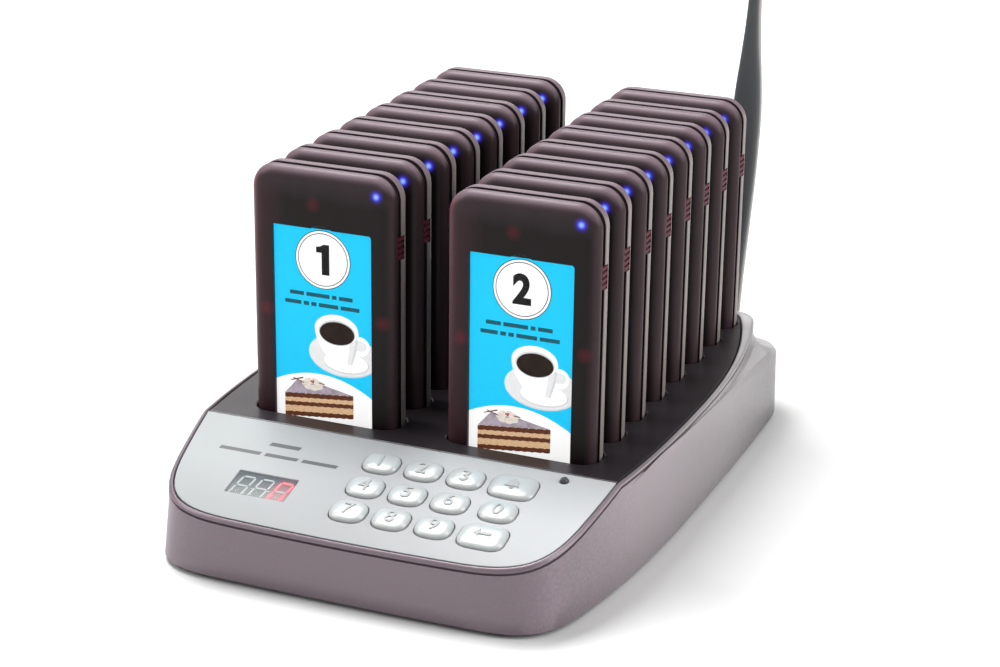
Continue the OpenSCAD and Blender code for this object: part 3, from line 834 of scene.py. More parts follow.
# How far the housing's upper rings are inset, and how far they are below the top
RIM_EDGE = [(0.8, 2.15), (0.8, 1.35), (0, 1.2), (0, 0.7), (0.25, 0.35), (0.75, 0)]
INSERT_EDGE = [(-0.35, 0), (0, 0.35), (0, 2.4)]


def at_height(ring, height):
    return [(x, y, height(y)) for x, y in ring]


def mix_rings(a, b, weight, rise=None):
    """Points part of the way from one ring to another. The height may have its own share."""
    rise = rise or weight
    mixed = []
    for p, q in zip(a, b):
        shares = (weight(p[1]), weight(p[1]), rise(p[1]))
        mixed.append(tuple(m + (n - m) * share for m, n, share in zip(p, q, shares)))
    return mixed


def below_top(ring, inset, drop):
    return at_height(inset_ring(ring, inset), lambda y: top_z(y) - drop)


def make_housing():
    """The painted shell: flared wall, falling shoulder, scoop, rim and the inside wall."""
    def share(start, behind=0.0, far_behind=0.0):
        """A share that changes behind the deck's front and again near the rear."""
        return lambda y: (
            start + behind * smooth_step(-78, -30, y) + far_behind * smooth_step(60, 108, y)
        )

    low = at_height(BODY_RING, lambda y: FLOOR_Z + 0.5)
    top = below_top(RIM_RING, 0, 2.25)
    straight = mix_rings(low, top, share(0.90))
    shoulder = at_height(inset_ring(BODY_RING, 0.5), crease_z)
    crease = mix_rings(straight, shoulder, share(0, 1))
    under = [(x, y, z - 1.4) for x, y, z in mix_rings(crease, low, share(0.03))]
    lip = [(x, y, z + 0.35) for x, y, z in mix_rings(crease, top, share(0.06, 0.10))]
    scoop = mix_rings(lip, top, share(0.35, 0.42, 0.17), share(0.35, -0.25, -0.06))
    rise = mix_rings(scoop, top, share(0.55, 0.30, 0.05), share(0.55, -0.12))
    rings = [at_height(inset_ring(BODY_RING, inset), lambda y: FLOOR_Z) for inset in (2.0, 0.35)]
    rings += [low, mix_rings(low, under, share(0.35)), mix_rings(low, under, share(0.75))]
    rings += [under, crease, lip, scoop, rise, top]
    rings += [below_top(RIM_RING, inset, drop) for inset, drop in RIM_EDGE]
    rings += [below_top(INSERT_RING, inset, drop) for inset, drop in INSERT_EDGE]
    rings += [
        below_top(RIM_RING, 2.2, 2.6),
        at_height(inset_ring(BODY_RING, 3.0), lambda y: min(top_z(y), crease_z(y)) - 5.0),
        at_height(inset_ring(BODY_RING, 2.2), lambda y: FLOOR_Z + 3),
    ]
    points, faces = loft(rings, closed=True)
    make_piece(
        "housing_shell", points, faces, [PAINT], "base", "housing", ["base_housing"], angle=40
    )


# ------------------------------------------------------------------ deck

SLOT_W, SLOT_T, SLOT_CORNER = PAGER_W + 2, PAGER_T + 2.6, 7


def slot_body(index):
    return f"pager_{index + 1:02d}"


def slot_place(index):
    """Front left foot of a pager's box, taken to its middle in X."""
    node = "pager_01_front_shell" if index == 0 else slot_body(index)
    low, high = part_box(node)
    return Vector(((low.x + high.x) / 2, low.y, low.z))


def joint_half_width(ring):
    """Half the width of a base ring where the panel meets the deck."""
    return max(x for x, y in ring if abs(y - DECK_FRONT_Y) < 0.5)


def make_deck():
    inner = inset_ring(INSERT_RING, 0.3)
    corner_x = joint_half_width(inner)
    rear = from_gap([p for p in inner if p[1] > DECK_FRONT_Y + 1.0])
    front_y = DECK_FRONT_Y + 0.15
    outline = [(corner_x * k / 6, front_y) for k in range(-6, 7)] + rear
    holes = []
    for index in range(PAGER_COUNT):
        place = slot_place(index) / MM
        centre = (place.x, place.y + PAGER_T / 2)
        holes.append(rounded_ring(SLOT_W, SLOT_T, SLOT_CORNER, 7, 1, centre))
    points, faces = plate(
        outline, holes, top=DECK_Z - 0.25, bottom=PAGER_LOW.z / MM - 1.6, fillet=0.7,
        hole_floor=PAGER_LOW.z / MM - 0.02, skirt=(DECK_Z - 4.2, 1.5),
    )
    make_piece("deck_insert", points, faces, [DECK], "base", "deck", ["slot_deck"], angle=28)


# ------------------------------------------------------------------ keypad panel

PANEL_MATRIX = (
    Matrix.Translation((0, DECK_FRONT_Y * MM, DECK_Z * MM)) @ Matrix.Rotation(SLOPE, 4, "X")
)
KEY_COLUMNS = [-3.6, 12.4, 28.3, 46]
KEY_ROWS = [12.4, 26.1, 39.6]
DIGIT_KEY = (13.2, 10.7)
WIDE_KEY = (16.8, 12.2)
KEY_GRID = ["1 2 3 call", "4 5 6 0", "7 8 9 delete"]
KEY_GAP = 0.28
KEY_POINTS = 40
WINDOW_CENTRE = (-39.5, -34.55)
LED_PLACE = (61.4, -4.2)
LED_RADIUS = 1.6
DASH_SLANT = 0.25
DASH_GAP = 1.8


def key_form(name):
    """A key's size and the power of its rounded outline."""
    return (WIDE_KEY, 3.6) if name in ("key_call", "key_delete") else (DIGIT_KEY, 2.75)


def key_shape(name, grow=0.0):
    size, power = key_form(name)
    half = (size[0] / 2 + grow, size[1] / 2 + grow)
    return [power_point(a, half, (2 / power, 2 / power)) for a in turns(KEY_POINTS)]


def moved(ring, centre):
    return [(x + centre[0], y + centre[1]) for x, y in ring]


def keys():
    for y, names in zip(KEY_ROWS, KEY_GRID):
        for x, name in zip(KEY_COLUMNS, names.split()):
            yield "key_" + name, (x, -y)


def make_panel():
    inner = inset_ring(INSERT_RING, 0.45)
    corner_x = joint_half_width(inner)
    flat = from_gap([
        (x, (y - DECK_FRONT_Y) / math.cos(SLOPE)) for x, y in inner if y < DECK_FRONT_Y - 1.0
    ])
    back_y = -0.35
    steps = 10
    back = [(corner_x * (1 - 2 * k / steps), back_y) for k in range(steps + 1)]
    outline = flat + back
    holes = [moved(key_shape(name, KEY_GAP), centre) for name, centre in keys()]
    holes.append(rounded_ring(*WINDOW_SIZE, 0.35, 3, 1, WINDOW_CENTRE))
    holes.append(circle(LED_PLACE, LED_RADIUS, 20))
    points, faces = plate(outline, holes, top=-0.05, bottom=-2.2, fillet=0.22)
    make_piece(
        "panel_plate", points, faces, [PANEL], "base", "panel", ["keypad_panel"], angle=28,
        frame_matrix=PANEL_MATRIX,
    )


def dash(left, length, middle, height):
    """A printed dash, slanted like writing, as a thin closed block."""
    lean, right = DASH_SLANT * height / 2, left + length
    low, high = middle - height / 2, middle + height / 2
    ring = [(left - lean, low), (right - lean, low), (right + lean, high), (left + lean, high)]
    return prism(ring, -0.06, 0.0)


def join_shapes(shapes):
    points, faces = [], []
    for some_points, some_faces in shapes:
        start = len(points)
        points += some_points
        faces += [[start + i for i in face] for face in some_faces]
    return points, faces


def make_panel_print():
    """Plain dashes where a heading and a line under it would be printed."""
    shapes = [dash(-47.2, 11.8, -12.2, 1.9)]
    left = -64.4
    for length in (16.2, 12.8, 13.6):
        shapes.append(dash(left, length, -18.2, 1.7))
        left += length + DASH_GAP
    make_piece(
        "panel_print", *join_shapes(shapes), [INK], "base", "panel", frame_matrix=PANEL_MATRIX
    )


# ------------------------------------------------------------------ display

DIGIT_PITCH = 7.35
DIGIT_HALF_W = 2.35
DIGIT_HALF_H = 4.9
DIGIT_MIDDLE = -1.0
DIGIT_SLANT = 0.14
SEGMENT_HALF = 0.38
SEGMENT_GAP = 0.22
MIDDLE_BAR = 1
FACE_Z = -0.75
BLOCK_BOTTOM = -9.6
BAR_HEIGHT = 0.15


def segment(a, b):
    """One bar of a digit with pointed ends, from a to b."""
    along = (Vector(b) - Vector(a)).normalized()
    start, end = Vector(a) + along * SEGMENT_GAP, Vector(b) - along * SEGMENT_GAP
    side = Vector((-along.y, along.x)) * SEGMENT_HALF
    nose = along * SEGMENT_HALF
    return [
        start, start + nose - side, end - nose - side, end, end - nose + side, start + nose + side
    ]


def digit_segments(centre_x):
    """The six bars of a digit without its lowest one, cut off at the window's edge."""
    w, h = DIGIT_HALF_W, DIGIT_HALF_H
    bars = [
        ((-w, h), (w, h)), ((-w, 0), (w, 0)), ((-w, 0), (-w, h)), ((w, 0), (w, h)),
        ((-w, -h), (-w, 0)), ((w, -h), (w, 0)),
    ]
    limit = -WINDOW_SIZE[1] / 2 + 0.1
    for a, b in bars:
        yield [
            (p.x + centre_x + DIGIT_SLANT * p.y, max(p.y + DIGIT_MIDDLE, limit))
            for p in segment(a, b)
        ]


def make_display():
    place = PANEL_MATRIX @ Matrix.Translation((*shade(WINDOW_CENTRE, MM), 0))
    block = prism(rounded_ring(22.6, 12.0, 0.4, 3), BLOCK_BOTTOM, FACE_Z)
    make_piece(
        "display_block", *block, [FACE], "base", "display", ["display_module"], frame_matrix=place
    )
    pale, lit = [], []
    for index, digit_x in enumerate((-DIGIT_PITCH, 0, DIGIT_PITCH)):
        for bar, ring in enumerate(digit_segments(digit_x + 0.2)):
            red = index == 2 and bar != MIDDLE_BAR
            (lit if red else pale).append(prism(ring, FACE_Z, FACE_Z + BAR_HEIGHT))
    for name, shapes, material, slot in (
        ("segments_unlit", pale, SEGMENT, "display"), ("segments_lit", lit, SEGMENT_RED, "led")
    ):
        make_piece(name, *join_shapes(shapes), [material], "base", slot, frame_matrix=place)
    lens, lens_in = (
        rounded_ring(WINDOW_SIZE[0] - gap, WINDOW_SIZE[1] - gap, corner, 3)
        for gap, corner in ((0.1, 0.35), (0.4, 0.3))
    )
    sheet = capped([lift(lens, -0.5), lift(lens, -0.22), lift(lens_in, -0.12)])
    make_piece(
        "display_lens", *sheet, [LENS], "base", "window", ["display_window"], frame_matrix=place
    )


# ------------------------------------------------------------------ keys

KEY_TOP = 1.75
KEY_DIGIT_HEIGHT = 5.6
KEY_DIGIT_WEIGHT = 0.008
MARK_RISE = 0.32
KEY_PROFILE = [
    (1.0, -2.4), (1.0, 0.10), (0.992, 0.38), (0.965, 0.70), (0.92, 0.98), (0.84, 1.24),
    (0.72, 1.45), (0.56, 1.60), (0.38, 1.70), (0.18, 1.74),
]


def pillow_height(share):
    """Height of a key's top at a share of the way from its middle to its edge."""
    for (s1, z1), (s0, z0) in zip(KEY_PROFILE, KEY_PROFILE[1:]):
        if s0 <= share <= s1 and s1 > s0:
            return z0 + (z1 - z0) * (share - s0) / (s1 - s0)
    return KEY_TOP if share < 0.2 else 0.0


def key_share(name, x, y):
    size, power = key_form(name)
    return (abs(2 * x / size[0]) ** power + abs(2 * y / size[1]) ** power) ** (1 / power)


def raised(name, points, faces, rise):
    """Lays flat triangles on a key's pillow as a thin raised mark."""
    made = bmesh.new()
    for x, y in points:
        made.verts.new((x, y, 0))
    made.verts.ensure_lookup_table()
    for face in faces:
        made.faces.new([made.verts[i] for i in face])
    bmesh.ops.remove_doubles(made, verts=made.verts, dist=0.001)
    bmesh.ops.triangulate(made, faces=made.faces)
    long_edges = [e for e in made.edges if e.calc_length() > 0.8]
    bmesh.ops.subdivide_edges(made, edges=long_edges, cuts=2)
    bmesh.ops.triangulate(made, faces=made.faces)
    made.verts.index_update()
    top = [(v.co.x, v.co.y) for v in made.verts]
    skin = [[v.index for v in f.verts] for f in made.faces]
    border = [
        [e.verts[0].index, e.verts[1].index] for e in made.edges if len(e.link_faces) == 1
    ]
    made.free()
    count = len(top)
    heights = [pillow_height(key_share(name, x, y)) for x, y in top]
    solid = [(x, y, z + rise) for (x, y), z in zip(top, heights)]
    solid += [(x, y, z - 0.1) for (x, y), z in zip(top, heights)]
    solid_faces = skin + [[count + i for i in reversed(face)] for face in skin]
    solid_faces += [[a, b, count + b, count + a] for a, b in border]
    return solid, solid_faces


def bell_mark():
    """A small bell for the call key."""
    half = [(0.0, 2.6), (0.5, 2.5), (0.75, 2.1), (1.5, 1.7), (1.9, 0.9), (2.05, -0.4), (2.7, -1.3)]
    outline = half + [(-x, y) for x, y in reversed(half[1:])]
    clapper = [(x, min(y, -1.75)) for x, y in circle((0, -1.75), 0.75, 16)[8:]] + [(0.75, -1.75)]
    points = outline + clapper
    return points, [list(range(len(outline))), list(range(len(outline), len(points)))]


def arrow_mark():
    """A left arrow for the delete key."""
    outline = [
        (-3.2, 0), (-1.2, 1.7), (-1.2, 0.6), (3.0, 0.6), (3.0, -0.6), (-1.2, -0.6), (-1.2, -1.7)
    ]
    return outline, [[0, 1, 2, 5, 6], [2, 3, 4, 5]]


def make_keys():
    for name, centre in keys():
        cap = capped([[(x * s, y * s, z) for x, y in key_shape(name)] for s, z in KEY_PROFILE])
        if name == "key_call":
            mark = bell_mark()
        elif name == "key_delete":
            mark = arrow_mark()
        else:
            mark = text_shape(name[-1], KEY_DIGIT_HEIGHT, KEY_DIGIT_WEIGHT)
        points, faces = join_shapes([cap, raised(name, *mark, MARK_RISE)])
        inks = [int(k >= len(cap[1])) for k in range(len(faces))]
        make_piece(
            name + "_cap", points, faces, [KEY, KEY_MARK], name, "key", [name], face_ink=inks,
            angle=30, frame_matrix=PANEL_MATRIX @ Matrix.Translation((*shade(centre, MM), 0)),
        )


# ------------------------------------------------------------------ pagers

FRONT_ROUND = 5.2
FRONT_DEPTH = 4.1
REAR_ROUND = 3.6
SHELL_WALL = 1.6
CORNER_STEPS = 10
TOP_STEPS = 18
NOTCH_HALF = 3.1
NOTCH_RISE = 1.25
SCREW_SPOTS = [(-21.5, 7), (21.5, 7), (-22.8, 100), (22.8, 100)]
GRILLE_RIBS = 4
CONTACT_SPOTS = (-8, 8)
CONTACT_Y = 8.4


def shell_ring(inset, y):
    ring = rounded_ring(
        PAGER_W - 2 * inset, PAGER_H - 2 * inset, PAGER_CORNER - inset, CORNER_STEPS, TOP_STEPS
    )
    return [(x, y, z + PAGER_H / 2) for x, z in ring]


def shell_rings(spots):
    return [shell_ring(inset, y) for inset, y in spots]


def label_ring(grow, y):
    """The card's recess, with a thumb notch in the middle of its upper edge."""
    middle = LABEL_BOTTOM + LABEL_H / 2
    width, height = LABEL_W + 2 * grow, LABEL_H + 2 * grow
    ring = rounded_ring(width, height, 0.9 + grow, CORNER_STEPS, TOP_STEPS, (0, middle))
    notched = []
    for x, z in ring:
        if z > middle + height / 2 - 0.01 and abs(x) < NOTCH_HALF:
            z += NOTCH_RISE * math.sqrt(1 - (x / NOTCH_HALF) ** 2)
        notched.append((x, y, z))
    return notched


def quarter_turn(steps):
    return [math.radians(90 * k / steps) for k in range(steps + 1)]


def front_shell_mesh(name, material):
    rings = [label_ring(0.12, 1.55), label_ring(0.12, 0.3), label_ring(0.32, 0.0)]
    rings += shell_rings(
        (FRONT_ROUND * (1 - math.sin(a)), FRONT_DEPTH * 0.93 * (1 - math.cos(a)))
        for a in quarter_turn(9)
    )
    rings += shell_rings([
        (0.02, SEAM_FRONT - 0.22), (0.22, SEAM_FRONT), (1.0, SEAM_FRONT),
        (SHELL_WALL, SEAM_FRONT), (SHELL_WALL + 0.2, 3.4), (SHELL_WALL + 1.4, 3.0),
    ])
    return smooth_mesh(name, *capped(rings), [material])


def rear_shell_mesh():
    inner = PAGER_T - SHELL_WALL
    rings = shell_rings([
        (SHELL_WALL + 1.4, inner), (SHELL_WALL, inner - 0.8), (SHELL_WALL, SEAM_FRONT + 0.1),
        (1.1, SEAM_FRONT + 0.1), (1.0, SEAM_REAR), (0.22, SEAM_REAR), (0.0, SEAM_REAR + 0.3),
    ])
    rings += shell_rings(
        (REAR_ROUND * (1 - math.cos(a)), PAGER_T - REAR_ROUND * (1 - math.sin(a)))
        for a in quarter_turn(7)
    )
    mesh = smooth_mesh("pager_rear", *capped(rings), [PAGER_REAR])
    low, high = grille_box()
    mesh = cut_box(
        mesh, (low.x - 0.2, SEAM_FRONT - 0.2, low.z - 0.1),
        (PAGER_W / 2 + 2, high.y + 0.1, high.z + 0.1),
    )
    for x, z in SCREW_SPOTS:
        mesh = cut_box(mesh, (x - 1.4, PAGER_T - 0.5, z - 1.4), (x + 1.4, PAGER_T + 2, z + 1.4))
    for x in CONTACT_SPOTS:
        well = circle((x, CONTACT_Y), 1.6, 24)
        mesh = cut_shape(mesh, *capped([lift(well, 0.95), lift(well, -1)]))
    tidy_normals(mesh, 30)
    return mesh


def contact_mesh():
    """The two charge contacts, set into wells in the pager's foot."""
    shapes = [
        capped([
            lift(circle((x, CONTACT_Y), radius, 24), z)
            for radius, z in ((1.5, 1.0), (1.5, 0.53), (1.42, 0.45))
        ])
        for x in CONTACT_SPOTS
    ]
    return smooth_mesh("pager_contacts", *join_shapes(shapes), [GOLD])


def grille_box():
    low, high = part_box("pager_01_side_grille")
    return (low - slot_place(0)) / MM, (high - slot_place(0)) / MM


def grille_mesh():
    """A ribbed insert on the right edge: a back plate and rounded ribs."""
    low, high = grille_box()
    depth = (SEAM_FRONT + 0.25, high.y)
    pitch = (high.z - low.z) / GRILLE_RIBS
    outer = PAGER_W / 2
    profiles = []
    for k in range(GRILLE_RIBS):
        middle = low.z + pitch * (k + 0.5)
        rib = [
            (outer - 0.55 + 0.5 * math.sin(a), middle - pitch * 0.42 * math.cos(a))
            for a in (math.pi * step / 8 for step in range(9))
        ]
        profiles.append(rib + [(low.x, middle + pitch * 0.42), (low.x, middle - pitch * 0.42)])
    back, front = low.x - 0.1, outer - 1.2
    profiles.append(rectangle(back, low.z, front, high.z))
    shapes = [capped([[(x, y, z) for x, z in profile] for y in depth]) for profile in profiles]
    return smooth_mesh("pager_grille", *join_shapes(shapes), [GRILLE_WINE_RED_GLOW], 40)


def window_mesh():
    rings = [label_ring(0.02, 0.7), label_ring(0.02, 0.22), label_ring(-0.15, 0.1)]
    return smooth_mesh("pager_window", *capped(rings), [WINDOW])


def screw_mesh():
    """Four domed screws in the rear face."""
    profile = [(0.9, 11.9), (1.25, 12.5), (1.25, 12.62), (1.05, 12.75), (0.5, 12.78), (0.45, 12.55)]
    shapes = [
        capped([[(x, y, z) for x, z in circle(spot, radius, 16)] for radius, y in profile])
        for spot in SCREW_SPOTS
    ]
    return smooth_mesh("pager_screws", *join_shapes(shapes), [STEEL])


# ------------------------------------------------------------------ label art

CYAN_INK, WHITE_INK, BLACK, PALE_INK, COFFEE_INK = range(5)
CREAM_INK, CHOC_INK, ICING_INK, BERRY_INK, WORDS_INK, SOFT_INK, SWIRL_INK = range(5, 12)
CARD_Y = 1.25
ART_STEP = 0.03
CARD_THICKNESS = 0.2
INK_THICKNESS = 0.018


class Art:
    """Flat printed shapes, one thin layer over another, seen from the front."""

    def __init__(self):
        self.points, self.faces, self.inks = [], [], []

    def add(self, ring, layer, ink, faces=None):
        start = len(self.points)
        y = CARD_Y - layer * ART_STEP
        half_card = LABEL_W / 2
        for x, z in ring:
            self.points.append((clamp(-half_card, half_card, x), y, z + DECK_IN_PAGER))
        for face in faces or [list(range(len(ring)))]:
            self.faces.append([start + i for i in face])
            self.inks.append(ink)

    def ellipse(self, centre, radii, layer, ink, count=40):
        ring = [power_point(a, radii, (1, 1)) for a in turns(count)]
        self.add(moved(ring, centre), layer, ink)


DISC = (0.1, 59.3)
WORD_ROWS = [(45.8, -13.2, (5.6, 9.2, 1.8, 5.4)), (42.3, -15.2, (6.5, 2.1, 2.0, 7.7, 7.4))]
DISC_RINGS = [(10.9, BLACK), (10.6, WHITE_INK), (9.8, BLACK), (9.5, WHITE_INK)]
WORD_HEIGHT = 1.45
WORD_GAP = 0.95
WAVE_TOP, WAVE_MIDDLE, WAVE_FALL = 16.0, -2.2, 0.0145


def label_mesh(number):
    """The printed card: a number on a disc, dashes for words, a cup and a slice of cake."""
    art = Art()
    half = LABEL_W / 2
    bottom, top = LABEL_BOTTOM - DECK_IN_PAGER, LABEL_BOTTOM + LABEL_H - DECK_IN_PAGER
    art.add(rectangle(-half, bottom, half, top), 0, CYAN_INK)
    wave = [(half, bottom), (half, bottom + 1)]
    steps = 24
    for k in range(steps + 1):
        x = half - LABEL_W * k / steps
        wave.append((x, WAVE_TOP - WAVE_FALL * (x - WAVE_MIDDLE) ** 2))
    art.add(wave + [(-half, bottom)], 1, WHITE_INK)
    for layer, (radius, ink) in enumerate(DISC_RINGS):
        art.ellipse(DISC, (radius, radius), 1 + layer, ink, 56)
    draw_number(art, number)
    for middle, left, lengths in WORD_ROWS:
        low, high = middle - WORD_HEIGHT / 2, middle + WORD_HEIGHT / 2
        for length in lengths:
            right = left + length
            art.add(rectangle(left, low, right, high), 1, WORDS_INK)
            left = right + WORD_GAP
    draw_cup(art)
    draw_cake(art)
    mesh = new_mesh(f"label_{number}", art.points, art.faces, LABEL_INKS)
    mesh.polygons.foreach_set("material_index", art.inks)
    thicken(mesh)
    return mesh


def thicken(mesh):
    """Gives the card and every flat ink shape a back and edges, so that they are closed."""
    made = bmesh.new()
    made.from_mesh(mesh)
    spare = [v for v in made.verts if not v.link_faces]
    bmesh.ops.delete(made, geom=spare, context="VERTS")
    made.normal_update()
    for face in made.faces:
        if face.normal.y > 0:
            face.normal_flip()
    fronts = made.faces[:]
    copied = bmesh.ops.duplicate(made, geom=fronts)
    backs = [part for part in copied["geom"] if isinstance(part, bmesh.types.BMFace)]
    matching = copied["vert_map"]
    rims = [(edge, edge.link_faces[0]) for face in fronts for edge in face.edges
            if len(edge.link_faces) == 1]
    card_y = (CARD_Y - ART_STEP / 2) * MM
    for edge, face in rims:
        a, b = edge.verts
        if [loop.vert for loop in face.loops if loop.edge == edge] == [b]:
            a, b = b, a
        side = made.faces.new((b, a, matching[a], matching[b]))
        side.material_index = face.material_index
    for vert in {v for face in backs for v in face.verts}:
        vert.co.y += (CARD_THICKNESS if vert.co.y > card_y else INK_THICKNESS) * MM
    for face in backs:
        face.normal_flip()
    made.normal_update()
    made.to_mesh(mesh)
    made.free()


DIGIT_HEIGHT = 11.3
DIGIT_SQUEEZE = 0.92
DIGIT_WEIGHT = 0.043
EIGHT_WEIGHT = 0.045
ONE = [
    (-0.23, 0.40), (-0.23, 0.22), (-0.04, 0.22), (-0.04, -0.5), (0.23, -0.5), (0.23, 0.5),
    (0.03, 0.5), (-0.08, 0.43),
]
ONE_FACES = [[2, 3, 4, 5, 6, 7], [0, 1, 2, 7]]


def digit_shape(character):
    if character == "1":
        return [(x * DIGIT_HEIGHT, y * DIGIT_HEIGHT) for x, y in ONE], ONE_FACES
    weight = EIGHT_WEIGHT if character == "8" else DIGIT_WEIGHT
    points, faces = text_shape(character, DIGIT_HEIGHT, weight)
    return [(x * DIGIT_SQUEEZE, y) for x, y in points], faces


def draw_number(art, number):
    """The pager's number, its digits side by side about the disc's middle."""
    shapes = [digit_shape(character) for character in str(number)]
    widths = [max(x for x, _ in points) * 2 for points, _ in shapes]
    gap = 0.7
    left = -(sum(widths) + gap * (len(widths) - 1)) / 2
    for (points, faces), width in zip(shapes, widths):
        middle = DISC[0] + left + width / 2
        art.add([(middle + x, DISC[1] + 0.1 + y) for x, y in points], 5, BLACK, faces)
        left += width + gap


def draw_cup(art):
    """A cup of coffee on a saucer, at the card's right edge."""
    for centre, radii, layer, ink in (
        ((8.0, 24.4), (13.9, 8.1), 1, PALE_INK), ((7.9, 24.7), (13.8, 7.9), 2, SOFT_INK),
        ((9.0, 21.6), (9.0, 3.9), 3, PALE_INK), ((8.8, 21.9), (8.7, 3.7), 4, WHITE_INK),
        ((7.25, 21.4), (4.15, 1.3), 6, WHITE_INK), ((5.3, 33.8), (8.7, 5.8), 9, PALE_INK),
        ((5.3, 33.9), (8.5, 5.65), 10, WHITE_INK), ((5.45, 32.9), (7.35, 4.7), 11, PALE_INK),
        ((5.5, 32.6), (6.9, 4.3), 12, COFFEE_INK),
    ):
        art.ellipse(centre, radii, layer, ink)
    handle_steps = 14
    outer, inner = [], []
    for k in range(handle_steps + 1):
        a = math.radians(115 - 240 * k / handle_steps)
        outer.append((14.7 + 3.7 * math.cos(a), 28.7 + 3.7 * math.sin(a)))
        inner.append((14.5 + 2.2 * math.cos(a), 28.7 + 2.0 * math.sin(a)))
    art.add(outer + inner[::-1], 4, PALE_INK)
    art.add(moved(outer, (-0.15, 0.15)) + moved(inner[::-1], (0.25, 0.25)), 5, WHITE_INK)
    steps = 16
    left_side, right_side = [], []
    for k in range(steps + 1):
        t = k / steps
        left_side.append((-3.4 + 6.5 * t ** 1.8, 33.6 - 12.2 * t))
        right_side.append((14.0 - 2.6 * t ** 1.6, 33.6 - 12.2 * t))
    art.add(left_side + right_side[::-1], 6, WHITE_INK)
    for layer, width, ink in ((7, 3.8, SOFT_INK), (8, 1.1, PALE_INK)):
        shadow = [
            (x - width * (0.55 + 0.45 * k / steps), z)
            for k, (x, z) in enumerate(right_side[:2:-1])
        ]
        art.add(right_side[3:] + shadow, layer, ink)


def draw_cake(art):
    """A slice of layer cake with icing, a cream swirl and shards."""
    left, right, tall = -15.9, 11.6, 8.9

    def level(share, x):
        top = 6.9 + 2.7 * (x - left) / (right - left)
        return top - tall * (1 - share)

    def wavy(share, x):
        return level(share, x) + 0.12 * math.sin(2.3 * x + 9 * share) + 0.06 * math.sin(5.1 * x)

    steps = 40
    columns = [left + (right - left) * k / steps for k in range(steps + 1)]
    bands = [
        (0.0, 0.19, CHOC_INK), (0.19, 0.45, CREAM_INK), (0.45, 0.62, CHOC_INK),
        (0.62, 0.80, CREAM_INK), (0.80, 1.0, CHOC_INK),
    ]
    for low, high, ink in bands:
        ring = [(x, wavy(low, x)) for x in columns] + [(x, wavy(high, x)) for x in columns[::-1]]
        art.add(ring, 2, ink)
    art.add(
        [(left, level(1, left)), (right, level(1, right)), (-2.5, 12.3), (-11.0, 12.5)], 3, ICING_INK
    )
    middle = (-4.7, 11.8)
    for k in range(7):
        a = 2 * math.pi * k / 7 + 0.4
        centre = (middle[0] + 2.7 * math.cos(a), middle[1] + 1.35 * math.sin(a))
        art.ellipse((centre[0] + 0.15, centre[1] - 0.2), (1.75, 1.15), 4, PALE_INK, 16)
        art.ellipse(centre, (1.65, 1.05), 5 + k % 2, SWIRL_INK, 16)
    for k in range(3):
        a = 2 * math.pi * k / 3 + 0.9
        centre = (middle[0] + 0.1 + 0.5 * math.cos(a), middle[1] + 0.9 + 0.35 * math.sin(a))
        art.ellipse(centre, (0.42, 0.32), 7, BERRY_INK, 10)
    for x, z, length, rise in (
        (-13.4, 11.9, 5.2, 1.6), (-12.4, 13.0, 4.6, -1.4), (-2.2, 12.4, 2.6, -0.3)
    ):
        shard = [(0, 0), (length, rise), (length - 0.3, rise + 0.45), (0, 0.35)]
        art.add(moved(shard, (x, z)), 7, CHOC_INK)


def make_pagers():
    fronts = [
        front_shell_mesh("pager_front", PAGER_FRONT), front_shell_mesh("pager_behind", PAGER_BEHIND)
    ]
    shared = [
        ("rear", rear_shell_mesh(), "pager", "rear_shell"),
        ("grille", grille_mesh(), "grille", "side_grille"),
        ("window", window_mesh(), "window", "card_window"),
        ("screws", screw_mesh(), "steel", "screws"),
    ]
    contacts = contact_mesh()
    for index in range(PAGER_COUNT):
        body = slot_body(index)
        first = index == 0
        parts = [("front", fronts[index > 1], "pager", "front_shell"), *shared]
        if not first:
            parts.append(("contacts", contacts, "contact", ""))
        parts.append(("label", label_mesh(index + 1), "label", "label_card"))
        for name, mesh, slot, node in parts:
            stood_for = [f"{body}_{node}"] if first else [body] if name == "front" else []
            place = Matrix.Translation(slot_place(index))
            place_piece(f"{body}_{name}", mesh, body, slot, stood_for, place)


# ------------------------------------------------------------------ antenna

BLADE_LOW, BLADE_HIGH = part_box("antenna_blade")
HINGE_LOW, HINGE_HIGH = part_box("antenna_hinge_pin")
HINGE = (HINGE_LOW + HINGE_HIGH) / 2
BLADE_LENGTH = 168
BLADE_LEAN = math.radians(5)
BLADE_DEPTH = 4.8
BLADE_TIP = 6
NECK_HALF = 2.1
COLLAR_RIDGES = 24


def blade_half(height):
    """Half the blade's width: a narrow stem that swells to a paddle."""
    reach = 62 if height < 97 else 33
    in_tip = max(0, height - BLADE_LENGTH + BLADE_TIP) / BLADE_TIP
    swell = 2.3 + 3.85 * math.exp(-((height - 97) / reach) ** 2)
    return swell * math.sqrt(max(0, 1 - in_tip ** 2))


def blade_ring(height):
    half = blade_half(height)
    thick = BLADE_DEPTH / 2 * min(1.0, 0.35 + half / 4.6)
    return lift([power_point(a, (half, thick), (0.85, 0.8)) for a in turns(32)], height)


def make_antenna():
    steps, start = 60, 6.4
    reach = BLADE_LENGTH - 0.15 - start
    blade = capped([blade_ring(start + reach * (k / steps)) for k in range(steps + 1)])
    stem = prism(rounded_ring(2 * NECK_HALF, 4.6, 0.6, 4), 0.6, start + 0.3)
    eye = loft([
        [(x, y, z) for y, z in circle((0, 0), radius, 28)]
        for x, radius in ((-NECK_HALF, 4.0), (NECK_HALF, 4.0), (NECK_HALF, 1.3), (-NECK_HALF, 1.3))
    ], closed=True)
    points, faces = join_shapes([blade, stem, eye])
    lean = Matrix.Rotation(-BLADE_LEAN, 3, "X")
    make_piece(
        "antenna_paddle", [lean @ Vector(p) for p in points], faces, [ANTENNA], "antenna",
        "antenna", ["antenna_blade"], angle=50, frame_matrix=Matrix.Translation(HINGE),
    )


